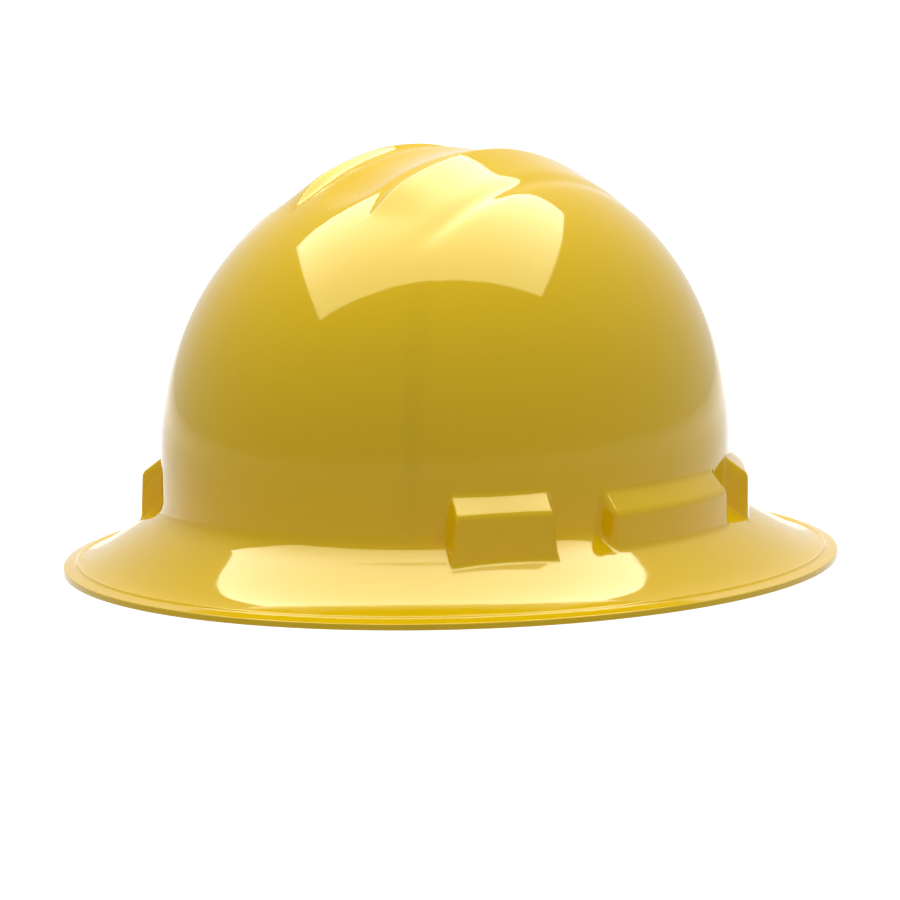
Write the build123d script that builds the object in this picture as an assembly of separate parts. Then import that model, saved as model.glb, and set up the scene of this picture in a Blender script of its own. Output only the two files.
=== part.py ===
from build123d import *
import math
import os

os.makedirs("parts", exist_ok=True)

# Full brim hard hat, millimetres. +Z up, the wearer looks along -Y and +X is the wearer's left.
# The origin is the centre of the brim edge on the plane that the rim stands on.

# Shell: dome
dome_half_width = 100.0
dome_front_length = 121.8
dome_rear_length = 109.0
dome_rise = 111.5
dome_spring_height = 44.8
crown_power = 2.05
shell_wall = 2.6

# Shell: brim
brim_half_width = 137.4
brim_half_length = 158.0
brim_flare_top = 27.0
rim_height = 2.2
rim_bead_inset = 4.6
rim_bead_width = 1.3
rim_bead_height = 0.6
brim_slope_angle = 28.0

# Shell: crown ridges and the channel between them
ridge_front_length = 78.0
ridge_rear_length = 76.0
ridge_height = 4.8
ridge_crest_offset = 20.0
ridge_crease_offset = 42.0
ridge_sink = 1.6
ridge_flank_angle = 34.0
ridge_depth = 26.0
channel_depth = 3.4
channel_half_width = 12.0
channel_dish_share = 0.5
surface_tolerance = 0.013

# Shell: corner sockets that take the suspension keys
front_socket_angle = 50.6
rear_socket_angle = 134.0
socket_top_width = 37.7
socket_foot_width = 42.6
socket_foot_height = 19.5
socket_proud = 7.0
socket_face_top = 34.5
socket_slope_rise = 7.0
socket_draft = 3.5
socket_bury = 8.0
pocket_width = 30.0
pocket_gap = 3.2
pocket_inset = 1.0
pocket_top = 33.0

# Shell: accessory slots on the sides
side_boss_front = 31.0
side_boss_rear = 40.5
side_boss_draft = 1.6
side_boss_proud = 6.5
side_boss_bottom = 14.0
side_boss_face_top = 31.2
side_boss_slope_rise = 7.6
accessory_slot_width = 31.0
accessory_slot_gap = 3.4
accessory_slot_inset = 1.2
accessory_slot_top = 30.0

# Suspension keys
key_clearance = 0.3
key_plate = 2.6
key_width = 29.0
key_blade_top = 31.5
key_shelf_top = 13.4
key_shelf_thickness = 3.0
key_arm_band_step = 5.8
key_arm_top = 66.0
key_bar_height = 4.2
key_strap_slot_height = 5.6
key_strap_slot_margin = 1.2
key_gusset_thickness = 2.0
key_gusset_leg = 8.0
key_corner = 3.0
key_hole_radius = 4.9

# Crown straps
strap_width = 19.0
strap_thickness = 1.2
strap_crown_height = 113.0
strap_loop_clearance = 0.3
strap_cross_gap = 1.3
strap_stations = 10
strap_arch_power = 1.9

# Headband
band_side_gap = 18.0
band_front_gap = 8.8
band_rear_gap = 14.0
band_thickness = 2.0
band_height = 29.0
band_bottom = 14.0
band_end_angle = 142.0
rail_start = 9.5
rail_gap = 0.8
rail_corner = 2.0
peg_radius = 2.4
peg_head_radius = 4.4
peg_head_thickness = 2.0
peg_pad_width = 13.0
height_travel = 6.0
band_window_count = 5
band_window_length = 14.0
band_window_height = 9.0
band_window_corner = 3.5
band_window_pitch_angle = 17.0

# Brow pad
pad_thickness = 3.6
pad_edge_thickness = 1.0
pad_overhang = 2.0
pad_half_angle = 62.0
pad_clearance = 0.3

# Swing rivets that hold the nape straps to the headband
swing_height = 24.0
rivet_shank_radius = 3.0
rivet_head_radius = 6.0
rivet_head_thickness = 1.8
rivet_head_fillet = 0.6
rivet_bore_clearance = 0.1
rivet_strap_clearance = 0.8
rivet_end_play = 1.9

# Nape straps with toothed slots
nape_strap_thickness = 1.8
nape_strap_height = 21.0
nape_end_radius = 8.5
nape_strap_gap = 0.5
nape_band_clearance = 1.05
rack_slot_length = 46.0
rack_tail_length = 7.0
rack_slot_offset = 3.0
nape_taper_start = 55.0

# Rack and pinion
tooth_module = 1.25
pinion_teeth = 10
pressure_angle = 20.0
addendum_share = 0.8
dedendum_share = 1.2
backlash = 0.5
slot_side_clearance = 0.5
size_travel = 10.0

# Ratchet housing
housing_wall = 1.8
housing_width = 60.0
housing_slide_clearance = 0.3
housing_rim = 2.2
housing_corner = 7.0
housing_seat_gap = 0.1
housing_flange = 1.2
housing_flange_length = 36.0
housing_flange_depth = 3.0
shell_rear_clearance = 2.0

# Knob, pinion and its screw
knob_radius = 15.0
knob_thickness = 8.0
knob_clearance = 0.4
knob_lobes = 12
knob_scallop_radius = 2.6
knob_scallop_depth = 1.1
knob_skirt_wall = 2.6
knob_recess_depth = 3.6
knob_hub_radius = 5.6
knob_edge_fillet = 0.8
pinion_shaft_radius = 4.0
pinion_shaft_clearance = 0.1
pinion_face_clearance = 0.3
pinion_hex_width = 6.0
pinion_hex_length = 5.0
pinion_journal_radius = 2.6
journal_clearance = 0.08
fit_gap = 0.1
knob_screw_radius = 1.4
knob_screw_head_radius = 3.0
knob_screw_head = 1.6
knob_screw_slot = 0.8
knob_screw_length = 9.0

# Detent spring under the knob
collar_radius = 6.6
collar_height = 2.4
collar_key_width = 1.6
collar_key_height = 1.0
detent_ring_width = 1.2
detent_thickness = 2.0
detent_arm_width = 0.8
detent_arm_gap = 0.8
detent_arm_angle = 80.0
detent_nose_width = 1.2
detent_teeth = 24
detent_tooth_depth = 0.7
detent_clearance = 0.3

# Nape pad
nape_pad_thickness = 2.6
nape_pad_edge = 1.0
nape_pad_height = 30.0
nape_pad_width = 66.0
nape_pad_clearance = 0.3

# One length that every cut runs past the face it leaves
overrun = 1.0


def fused(first, *others):
    """Several solids joined in one step."""
    return first.fuse(*others).clean()


def egg_face(half_width, front_length, rear_length, height):
    """Closed outline of two half ellipses that meet at the sides."""
    centre = (0, 0, height)
    rear = EllipticalCenterArc(centre, half_width, rear_length, 0, arc_size=180)
    front = EllipticalCenterArc(centre, half_width, front_length, 180, arc_size=180)
    return make_face(Curve() + [rear, front])


def egg_prism(half_width, front_length, rear_length, low, high):
    """Upright solid on an egg outline."""
    return extrude(egg_face(half_width, front_length, rear_length, low), high - low, dir=(0, 0, 1))


def egg_point(angle, half_width, front_length, rear_length):
    """Point of an egg outline at an angle from the front, positive towards +X."""
    side = math.sin(math.radians(angle))
    ahead = math.cos(math.radians(angle))
    length = front_length if ahead > 0 else rear_length
    reach = 1 / math.hypot(side / half_width, ahead / length)
    return reach * side, -reach * ahead


def dome_normal(x, y):
    """Outward direction of the dome's outline at a point of it."""
    length = dome_front_length if y < 0 else dome_rear_length
    across = x / dome_half_width**2
    along = y / length**2
    size = math.hypot(across, along)
    return across / size, along / size


def wall_plane(angle):
    """Plane at the dome's outline: x runs round the wall, y runs up, z points out of the wall."""
    x, y = egg_point(angle, dome_half_width, dome_front_length, dome_rear_length)
    out_x, out_y = dome_normal(x, y)
    return Plane(origin=(x, y, 0), x_dir=(-out_y, out_x, 0), z_dir=(out_x, out_y, 0))


def wall_box(plane, width, inner, outer, low, high):
    """Block in a wall plane, between two offsets from the wall and two heights."""
    outline = Pos(0, (low + high) / 2) * Rectangle(width, high - low)
    return extrude(plane.offset(inner) * outline, outer - inner)


# Shell
def dome_height(x, y):
    """Height of the plain dome over a point."""
    length = dome_front_length if y < 0 else dome_rear_length
    reach = math.hypot(x / dome_half_width, y / length)
    return dome_spring_height + dome_rise * (1 - reach**crown_power) ** (1 / crown_power)


ridge_place_shares = (-1.0, -0.9, -0.72, -0.22, 0.04, 0.34, 0.6, 0.77, 0.9, 1.0)
ridge_rise_shares = (0.0, 0.45, 1.0, 1.0, 0.7, 0.44, 0.42, 0.46, 0.3, 0.0)


def ridge_share(y):
    """How much of its full height a ridge has at a place along it."""
    place = y / (ridge_front_length if y < 0 else ridge_rear_length)
    places = ridge_place_shares
    rises = ridge_rise_shares
    last = len(places) - 2
    index = 0
    while index < last and place > places[index + 1]:
        index += 1
    before = max(index - 1, 0)
    after = min(index + 2, last + 1)
    span = places[index + 1] - places[index]
    slope = (rises[index + 1] - rises[before]) / (places[index + 1] - places[before])
    next_slope = (rises[after] - rises[index]) / (places[after] - places[index])
    t = (place - places[index]) / span
    value = rises[index] * (2 * t**3 - 3 * t**2 + 1) + rises[index + 1] * (3 * t**2 - 2 * t**3)
    value += slope * span * (t**3 - 2 * t**2 + t) + next_slope * span * (t**3 - t**2)
    return value


def field_prism(height, x_low, x_high, x_steps, y_low, y_high, y_steps, depth):
    """Solid between a height field and its copy moved by a depth, negative downwards."""
    grid = []
    for i in range(x_steps + 1):
        x = x_low + (x_high - x_low) * i / x_steps
        row = []
        for j in range(y_steps + 1):
            y = y_low + (y_high - y_low) * j / y_steps
            row.append(Vector(x, y, height(x, y)))
        grid.append(row)
    surface = Face.make_surface_from_array_of_points(grid, tol=surface_tolerance)
    return extrude(surface, abs(depth), dir=(0, 0, 1 if depth > 0 else -1))


def ridge_solid(inset):
    """Left ridge, from its crisp inner crest down to the crease where it meets the dome."""

    def back(x, y):
        across = (x - ridge_crest_offset) / (ridge_crease_offset - ridge_crest_offset)
        rise = (ridge_height + ridge_sink) * ridge_share(y) * (1 - across) - ridge_sink * across
        return dome_height(x, y) + rise - ridge_sink * (1 - ridge_share(y)) - inset

    def flank(x, y):
        crest = dome_height(ridge_crest_offset, y) + ridge_height * ridge_share(y)
        slope = math.tan(math.radians(ridge_flank_angle))
        return crest + (x - ridge_crest_offset) * slope - inset

    low_y = -ridge_front_length - ridge_sink
    high_y = ridge_rear_length + ridge_sink
    near_x = ridge_crest_offset - channel_half_width
    far_x = ridge_crease_offset + ridge_sink
    top = field_prism(back, near_x, far_x, 14, low_y, high_y, 36, -ridge_depth)
    side = field_prism(flank, near_x, far_x, 3, low_y, high_y, 24, -2 * ridge_depth)
    return top & side


def channel_tool(inset):
    """What the channel between the ridges takes out of the dome."""

    def floor(x, y):
        depth = channel_depth * ridge_share(y)
        dish = (channel_depth + ridge_sink) * channel_dish_share * (x / channel_half_width) ** 2
        return dome_height(x, y) - depth + dish - inset

    return field_prism(
        floor,
        -2 * channel_half_width,
        2 * channel_half_width,
        12,
        -ridge_front_length,
        ridge_rear_length,
        30,
        ridge_depth,
    )


rise_shares = (0.0, 0.12, 0.25, 0.38, 0.5, 0.62, 0.73, 0.83, 0.91, 0.965, 0.995)
brim_reach_shares = (0.0, 0.012, 0.05, 0.12, 0.22, 0.34, 0.46, 0.58, 0.70, 0.80, 0.88, 0.94, 1.0)
brim_height_shares = (1.0, 0.89, 0.80, 0.705, 0.60, 0.48, 0.362, 0.25, 0.15, 0.084, 0.042, 0.018, 0.0)
shell_drop = shell_wall / math.cos(math.radians(brim_slope_angle))


def dome_solid(inset, base):
    """Dome from the top of the brim's flare to just under its apex, which the channel takes away."""
    half_width = dome_half_width - inset
    front = dome_front_length - inset
    rear = dome_rear_length - inset
    wall_middle = (base + dome_spring_height) / 2
    faces = [egg_face(half_width, front, rear, base), egg_face(half_width, front, rear, wall_middle)]
    for share in rise_shares:
        reach = (1 - share**crown_power) ** (1 / crown_power)
        level = dome_spring_height + (dome_rise - inset) * share
        faces.append(egg_face(half_width * reach, front * reach, rear * reach, level))
    return loft(faces)


def brim_solid(inset, drop):
    """The brim's slope, from the rim up the flare to the dome."""
    faces = []
    for reach, height in zip(brim_reach_shares, brim_height_shares):
        half_width = dome_half_width + (brim_half_width - dome_half_width) * reach
        front = dome_front_length + (brim_half_length - dome_front_length) * reach
        rear = dome_rear_length + (brim_half_length - dome_rear_length) * reach
        level = rim_height + (brim_flare_top - rim_height) * height - drop
        faces.append(egg_face(half_width - inset, front - inset, rear - inset, level))
    faces.reverse()
    return loft(faces)


def rim_prism(inset, low, high):
    """Upright solid on the rim's outline."""
    long = brim_half_length - inset
    return egg_prism(brim_half_width - inset, long, long, low, high)


def rim_bead():
    """Thin raised line that runs round the brim just inside its edge."""
    ring = rim_prism(rim_bead_inset, 0, brim_flare_top)
    ring -= rim_prism(rim_bead_inset + rim_bead_width, 0, brim_flare_top)
    return ring & (Pos(0, 0, rim_bead_height) * brim_solid(0, 0))


def shell_form(inset, drop, foot):
    """Everything inside the shell's skin, drawn in by an inset."""
    dome = dome_solid(inset, brim_flare_top - drop)
    form = fused(dome, brim_solid(inset, drop), rim_prism(inset, foot, rim_height - drop))
    form = form - channel_tool(inset)
    ridge = ridge_solid(inset)
    return fused(form, ridge, mirror(ridge, Plane.YZ))


def socket_boss(angle):
    """Corner block over a key pocket: a flat outer face, a sloping top and drafted sides."""
    plane = wall_plane(angle)
    reach = socket_slope_rise / socket_proud * socket_bury
    root_tall = socket_face_top + socket_slope_rise + reach
    spread = (socket_foot_width - socket_top_width) / 2 / (socket_face_top - socket_foot_height)
    base_half = socket_top_width / 2 + spread * socket_face_top
    sections = ((-socket_bury, base_half + socket_draft, root_tall), (socket_proud, base_half, socket_face_top))
    faces = []
    for offset, low, tall in sections:
        high = low - spread * tall
        outline = Polyline((-low, 0), (low, 0), (high, tall), (-high, tall), close=True)
        faces.append((plane.offset(offset) * make_face(outline)).face())
    return loft(faces, ruled=True) - brim_underside()


def brim_underside():
    """The space under the brim."""
    return fused(brim_solid(0, shell_drop), rim_prism(0, -overrun, rim_height - shell_drop))


def side_boss():
    """Long low block on the wearer's left that follows the wall over an accessory slot."""
    faces = []
    levels = (0, side_boss_face_top, side_boss_face_top + 2 * side_boss_slope_rise)
    for proud, level in zip((side_boss_proud, side_boss_proud, -side_boss_proud), levels):
        faces.append(
            egg_face(
                dome_half_width + proud,
                dome_front_length + proud,
                dome_rear_length + proud,
                level,
            )
        )
    band = loft(faces, ruled=True)
    reach = dome_half_width / 2
    face_x = dome_half_width + side_boss_proud
    flare = side_boss_draft / side_boss_proud * reach
    outline = Polyline(
        (face_x + reach, flare - side_boss_front),
        (face_x + reach, side_boss_rear - flare),
        (face_x - reach, side_boss_rear + flare),
        (face_x - reach, -side_boss_front - flare),
        close=True,
    )
    window = Pos(0, 0, side_boss_bottom) * make_face(outline)
    return band & extrude(window, levels[-1] - side_boss_bottom, dir=(0, 0, 1))


def mirrored_pair(left):
    """A left piece and its mirror image on the right."""
    return left, mirror(left, Plane.YZ)


def socket_pocket(angle):
    """Pocket in a corner block, open under the brim, that a key's blade is pushed up into."""
    outer = pocket_inset + pocket_gap
    return wall_box(wall_plane(angle), pocket_width, pocket_inset, outer, 0, pocket_top)


def accessory_slot():
    """Slot in the left side block, open under the brim, for an accessory arm."""
    middle = (side_boss_rear - side_boss_front) / 2
    reach = accessory_slot_inset + accessory_slot_gap
    centre = dome_half_width + (accessory_slot_inset + reach) / 2
    block = Box(accessory_slot_gap, accessory_slot_width, accessory_slot_top)
    return Pos(centre, middle, accessory_slot_top / 2) * block


def make_shell():
    """One moulding: dome, ridges, brim, corner sockets and side blocks."""
    form = shell_form(0, 0, 0)
    fronts = mirrored_pair(socket_boss(front_socket_angle))
    rears = mirrored_pair(socket_boss(rear_socket_angle))
    form = fused(form, *fronts, *rears, *mirrored_pair(side_boss()), rim_bead())
    shell = form - shell_form(shell_wall, shell_drop, -overrun - shell_drop)
    pockets = [*mirrored_pair(socket_pocket(front_socket_angle))]
    pockets += [*mirrored_pair(socket_pocket(rear_socket_angle))]
    pockets += [*mirrored_pair(accessory_slot())]
    return shell - pockets


shell = make_shell()
export_step(shell, "parts/shell.step")


# Layout of the suspension
band_half_width = dome_half_width - band_side_gap
band_front_length = dome_front_length - band_front_gap
band_rear_length = dome_rear_length - band_rear_gap
band_top = band_bottom + band_height
key_arm_inset = band_side_gap - key_arm_band_step
rail_low = swing_height + nape_strap_height / 2 + rail_gap
peg_height = (rail_low + band_top) / 2


# Suspension keys
def key_solid(angle):
    """Bracket: a blade up in the pocket, a shelf under the wall and an arm inside the shell."""
    plane = wall_plane(angle)
    blade_inner = pocket_inset + key_clearance
    blade_outer = blade_inner + key_plate
    arm_outer = -key_arm_inset
    arm_inner = arm_outer - key_plate
    shelf_low = key_shelf_top - key_shelf_thickness
    blade = wall_box(plane, key_width, blade_inner, blade_outer, shelf_low, key_blade_top)
    shelf = wall_box(plane, key_width, arm_inner, blade_outer, shelf_low, key_shelf_top)
    arm = wall_box(plane, key_width, arm_inner, arm_outer, shelf_low, key_arm_top)
    key = fused(blade, shelf, arm)
    corners = key.edges().filter_by(lambda edge: abs(edge.length - key_plate) < key_clearance)
    tops = [edge for edge in corners if edge.center().Z > key_blade_top - key_clearance]
    key = fillet(tops, key_corner)
    for side in (-1, 1):
        key = fused(key, key_gusset(plane, side * (key_width - key_gusset_thickness) / 2))
    slot_top = key_arm_top - key_bar_height
    slot_low = slot_top - key_strap_slot_height
    slot_width = strap_width + 2 * key_strap_slot_margin
    slot = wall_box(plane, slot_width, arm_inner - overrun, arm_outer + overrun, slot_low, slot_top)
    return key - slot - peg_slot(plane, arm_inner, arm_outer)


def key_gusset(plane, along):
    """Small triangular rib in the corner between the shelf and the arm."""
    rib = Plane(
        origin=plane.from_local_coords((along - key_gusset_thickness / 2, 0, 0)),
        x_dir=plane.z_dir,
        z_dir=plane.x_dir,
    )
    corner = (-key_arm_inset, -key_shelf_top)
    outline = Polyline(
        corner,
        (corner[0] + key_gusset_leg, corner[1]),
        (corner[0], corner[1] - key_gusset_leg),
        close=True,
    )
    return extrude(rib * make_face(outline), key_gusset_thickness)


def peg_slot(plane, arm_inner, arm_outer):
    """Keyhole slot that a headband peg slides in, with a round entry at its foot."""
    gap = peg_radius + key_clearance
    low = peg_height - height_travel
    high = peg_height + height_travel
    outline = Pos(0, (low + high) / 2) * Rectangle(2 * gap, high - low)
    outline += Pos(0, high) * Circle(gap)
    outline += Pos(0, low - key_hole_radius) * Circle(key_hole_radius)
    outline += Pos(0, low - key_hole_radius / 2) * Rectangle(2 * gap, key_hole_radius)
    depth = arm_outer - arm_inner + 2 * overrun
    return extrude(plane.offset(arm_inner - overrun) * outline, depth)


socket_angles = {
    "front_left_key": front_socket_angle,
    "front_right_key": -front_socket_angle,
    "rear_left_key": rear_socket_angle,
    "rear_right_key": -rear_socket_angle,
}
for name, angle in socket_angles.items():
    export_step(key_solid(angle), f"parts/{name}.step")


# Crown straps
def bar_loop(plane):
    """Fold of webbing round the bar at the top of a key's arm."""
    gap = strap_loop_clearance
    wrap = gap + strap_thickness
    centre = Pos(-key_arm_inset - key_plate / 2, key_arm_top - key_bar_height / 2)
    wide = key_plate + 2 * gap
    tall = key_bar_height + 2 * gap
    full_wide = wide + 2 * strap_thickness
    full_tall = tall + 2 * strap_thickness
    outline = centre * RectangleRounded(full_wide, full_tall, wrap)
    outline += centre * Pos(wrap / 2 - full_wide / 2, full_tall / 2 - wrap / 2) * Rectangle(wrap, wrap)
    outline -= centre * RectangleRounded(wide, tall, gap)
    across = Plane(
        origin=plane.from_local_coords((strap_width / 2, 0, 0)),
        x_dir=plane.z_dir,
        z_dir=plane.x_dir * -1,
    )
    return extrude(across * outline, strap_width)


def strap_start(plane):
    """Middle of the webbing where it leaves the fold."""
    inset = key_arm_inset + key_plate + strap_loop_clearance + strap_thickness / 2
    top = key_arm_top + strap_loop_clearance + strap_thickness
    return plane.from_local_coords((0, top, -inset))


def strap_solid(front_angle, rear_angle, crown):
    """Webbing from a front key over the crown to the opposite rear key."""
    front = wall_plane(front_angle)
    rear = wall_plane(rear_angle)
    start = strap_start(front)
    end = strap_start(rear)
    rise = crown - start.Z
    run = end - start
    heading = run.normalized()
    square = heading.cross(Vector(0, 0, 1))
    faces = []
    for index in range(strap_stations + 1):
        turn = math.pi * (index / strap_stations - 0.5)
        along = math.copysign(abs(math.sin(turn)) ** (2 / strap_arch_power), turn)
        lift = abs(math.cos(turn)) ** (2 / strap_arch_power)
        spot = start + run * ((1 + along) / 2) + Vector(0, 0, rise * lift)
        key_side = front.x_dir if along < 0 else rear.x_dir
        if key_side.dot(square) < 0:
            key_side = key_side * -1
        twist = abs(along) ** 3
        width_dir = (square * (1 - twist) + key_side * twist).normalized()
        steep = math.cos(turn) ** (2 - 2 / strap_arch_power) * run.length / 2
        climb = -math.copysign(abs(math.sin(turn)) ** (2 - 2 / strap_arch_power), turn) * rise
        level = Vector(0, 0, 1).cross(width_dir)
        if level.dot(heading) < 0:
            level = level * -1
        travel = (level * steep + Vector(0, 0, climb)).normalized()
        section = Plane(origin=spot, x_dir=width_dir, z_dir=travel)
        faces.append((section * Rectangle(strap_width, strap_thickness)).face())
    ribbon = loft(faces)
    return fused(ribbon, bar_loop(front), bar_loop(rear))


second_crown = strap_crown_height + strap_thickness + strap_cross_gap
left_strap = strap_solid(front_socket_angle, -rear_socket_angle, strap_crown_height)
right_strap = strap_solid(-front_socket_angle, rear_socket_angle, second_crown)
export_step(left_strap, "parts/left_crown_strap.step")
export_step(right_strap, "parts/right_crown_strap.step")


# Layout of the nape assembly
rear_inner = dome_rear_length - shell_wall
band_inner = band_half_width - band_thickness
nape_strap_radius = band_inner - nape_band_clearance - nape_strap_thickness / 2
strap_pitch = nape_strap_thickness + nape_strap_gap
strap_stack = strap_pitch / 2 + nape_strap_thickness / 2
guide_reach = strap_stack + housing_slide_clearance
knob_reach = guide_reach + housing_wall + knob_clearance + knob_thickness
rack_middle = rear_inner - shell_rear_clearance - size_travel - knob_reach
pivot_y = rack_middle - nape_strap_radius
pinion_radius = tooth_module * pinion_teeth / 2
tooth_pitch = math.pi * tooth_module
addendum = addendum_share * tooth_module
dedendum = dedendum_share * tooth_module
rear_face = Plane(origin=(0, rack_middle, swing_height), x_dir=(-1, 0, 0), z_dir=(0, 1, 0))


def disc(radius, low, high):
    """Round solid on the knob's axis, between two distances from the middle of the racks."""
    return extrude(rear_face.offset(low) * Circle(radius), high - low)


def arc_wall(centre_y, inner, outer, low, high):
    """Upright ring about a vertical axis behind the head."""
    ring = Circle(outer) - Circle(inner)
    return extrude(Pos(0, centre_y, low) * ring, high - low)


# Headband
def front_wedge(half_angle, low, high):
    """Everything within an angle of straight ahead, between two heights."""
    far = 2 * dome_front_length
    side = far * math.sin(math.radians(half_angle))
    ahead = far * math.cos(math.radians(half_angle))
    points = [(0, 0), (side, -ahead)]
    if half_angle > 90:
        points += [(far, -far), (-far, -far)]
    else:
        points += [(0, -far)]
    points += [(-side, -ahead)]
    outline = Polyline(*points, close=True)
    return extrude(Pos(0, 0, low) * make_face(outline), high - low)


def band_egg(inset, low, high):
    """Upright solid on the headband's outline, drawn in by an inset."""
    return egg_prism(
        band_half_width - inset,
        band_front_length - inset,
        band_rear_length - inset,
        low,
        high,
    )


def peg(plane):
    """Pad, neck and head that hang the headband in a key's slot."""
    face = -key_arm_inset - key_plate - key_clearance
    out = plane.z_dir
    length = band_front_length if out.Y < 0 else band_rear_length
    band_reach = math.hypot(band_half_width * out.X, length * out.Y) - plane.origin.dot(out)
    pad = wall_box(plane, peg_pad_width, band_reach - band_thickness / 2, face, rail_low, band_top)
    head_face = key_clearance - key_arm_inset
    neck = extrude(plane.offset(face) * Pos(0, peg_height) * Circle(peg_radius), head_face - face)
    head = plane.offset(head_face) * Pos(0, peg_height) * Circle(peg_head_radius)
    return pad, neck, extrude(head, peg_head_thickness)


def rail_notch():
    """Room under the rear rails of the headband, where the nape straps move out and in."""
    long = band_rear_length + overrun
    tall = 2 * (rail_low - band_bottom)
    far = band_half_width + overrun
    sight = Plane(origin=(-far, 0, 0), x_dir=(0, 1, 0), z_dir=(1, 0, 0))
    middle = Pos(pivot_y + rail_start + long / 2, rail_low - tall / 2)
    return extrude(sight * middle * RectangleRounded(long, tall, rail_corner), 2 * far)


def make_headband():
    """Strip round the front and sides of the head, with windows, pegs and rivet holes."""
    strip = band_egg(0, band_bottom, band_top) - band_egg(band_thickness, band_bottom, band_top)
    strip &= front_wedge(band_end_angle, band_bottom, band_top)
    strip -= rail_notch()
    middle = band_bottom + band_height / 2
    for index in range(band_window_count):
        turn = (index - (band_window_count - 1) / 2) * band_window_pitch_angle
        out = Plane(origin=(0, 0, middle), x_dir=(1, 0, 0), z_dir=(0, -1, 0))
        window = RectangleRounded(band_window_length, band_window_height, band_window_corner)
        cutter = extrude(out * window, band_front_length + overrun)
        strip -= Rot(0, 0, turn) * cutter
    bore = Plane(origin=(0, pivot_y, swing_height), x_dir=(0, 1, 0), z_dir=(1, 0, 0))
    hole = Circle(rivet_shank_radius + rivet_bore_clearance)
    strip -= extrude(bore * hole, band_half_width + overrun, both=True)
    pegs = []
    for angle in socket_angles.values():
        pegs += peg(wall_plane(angle))
    return fused(strip, *pegs)


headband = make_headband()
export_step(headband, "parts/headband.step")


# Brow pad
pad_level_shares = (0.0, 0.14, 0.5, 0.86, 1.0)
pad_crown_shares = (0.0, 0.7, 1.0, 0.7, 0.0)


def make_brow_pad():
    """Soft pad inside the front of the headband, thickest along its middle."""
    low = band_bottom - pad_overhang
    tall = band_height + 2 * pad_overhang
    seat = band_thickness + pad_clearance
    faces = []
    for level, crown in zip(pad_level_shares, pad_crown_shares):
        inset = seat + pad_edge_thickness + (pad_thickness - pad_edge_thickness) * crown
        faces.append(
            egg_face(
                band_half_width - inset,
                band_front_length - inset,
                band_rear_length - inset,
                low + tall * level,
            )
        )
    pad = band_egg(seat, low, low + tall) - loft(faces)
    return pad & front_wedge(pad_half_angle, low, low + tall)


export_step(make_brow_pad(), "parts/brow_pad.step")


# Swing rivets
def make_left_rivet():
    """Rivet through the headband and the nape strap's end, with room for the strap to move."""
    axis = Plane(origin=(0, pivot_y, swing_height), x_dir=(0, 1, 0), z_dir=(1, 0, 0))
    outer_face = band_half_width + rivet_bore_clearance
    strap_inner = nape_strap_radius - nape_strap_thickness / 2
    inner_face = strap_inner - rivet_end_play
    shank = extrude(axis.offset(inner_face) * Circle(rivet_shank_radius), outer_face - inner_face)
    outer = extrude(axis.offset(outer_face) * Circle(rivet_head_radius), rivet_head_thickness)
    inner = extrude(axis.offset(inner_face) * Circle(rivet_head_radius), -rivet_head_thickness)
    rivet = fused(shank, outer, inner)
    rims = rivet.edges().filter_by(GeomType.CIRCLE)
    rims = [edge for edge in rims if edge.radius > rivet_shank_radius + rivet_bore_clearance]
    inner_end = inner_face - rivet_head_thickness
    outer_end = outer_face + rivet_head_thickness
    ends = [edge for edge in rims if not inner_end < edge.center().X - fit_gap < outer_end - 2 * fit_gap]
    return fillet(ends, rivet_head_fillet)


left_rivet, right_rivet = mirrored_pair(make_left_rivet())
export_step(left_rivet, "parts/left_swing_rivet.step")
export_step(right_rivet, "parts/right_swing_rivet.step")


# Nape straps
def rack_gap():
    """Space between two rack teeth, about the pitch line, widening towards the pinion."""
    half = tooth_pitch / 4 + backlash / 4
    lean = math.tan(math.radians(pressure_angle))
    reach = addendum + overrun
    outline = Polyline(
        (half - dedendum * lean, dedendum),
        (half + reach * lean, -reach),
        (-half - reach * lean, -reach),
        (-half + dedendum * lean, dedendum),
        close=True,
    )
    return make_face(outline)


def nape_strap(side):
    """Curved strap from a side rivet to the ratchet, with a toothed slot, built on the left."""
    centre_y = pivot_y + side * strap_pitch / 2
    inner = nape_strap_radius - nape_strap_thickness / 2
    outer = nape_strap_radius + nape_strap_thickness / 2
    low = swing_height - nape_strap_height / 2
    high = swing_height + nape_strap_height / 2
    strap = arc_wall(centre_y, inner, outer, low, high)
    tail = rack_slot_length / 2 - rack_slot_offset + rack_tail_length
    far = 2 * nape_strap_radius
    tail_x = -nape_strap_radius * math.sin(tail / nape_strap_radius)
    front_y = pivot_y - nape_end_radius
    side_outline = Polyline(
        (front_y, 0),
        (front_y, nape_end_radius),
        (pivot_y, nape_end_radius),
        (nape_taper_start, nape_strap_height / 2),
        (far, nape_strap_height / 2),
        (far, -nape_strap_height / 2),
        (nape_taper_start, -nape_strap_height / 2),
        (pivot_y, -nape_end_radius),
        (front_y, -nape_end_radius),
        close=True,
    )
    sight = Plane(origin=(tail_x, 0, swing_height), x_dir=(0, 1, 0), z_dir=(1, 0, 0))
    end_disc = Pos(pivot_y, 0) * Circle(nape_end_radius)
    block = make_face(side_outline) - Pos(front_y, 0) * Rectangle(
        2 * nape_end_radius, 2 * nape_end_radius
    )
    strap &= extrude(sight * (block + end_disc), far)
    hole = sight.offset(-tail_x) * Pos(pivot_y, 0)
    hole *= Circle(rivet_shank_radius + rivet_strap_clearance)
    strap -= extrude(hole, far)
    strap -= rack_slot(centre_y, side)
    return strap if side > 0 else mirror(strap, Plane.YZ)


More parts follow.
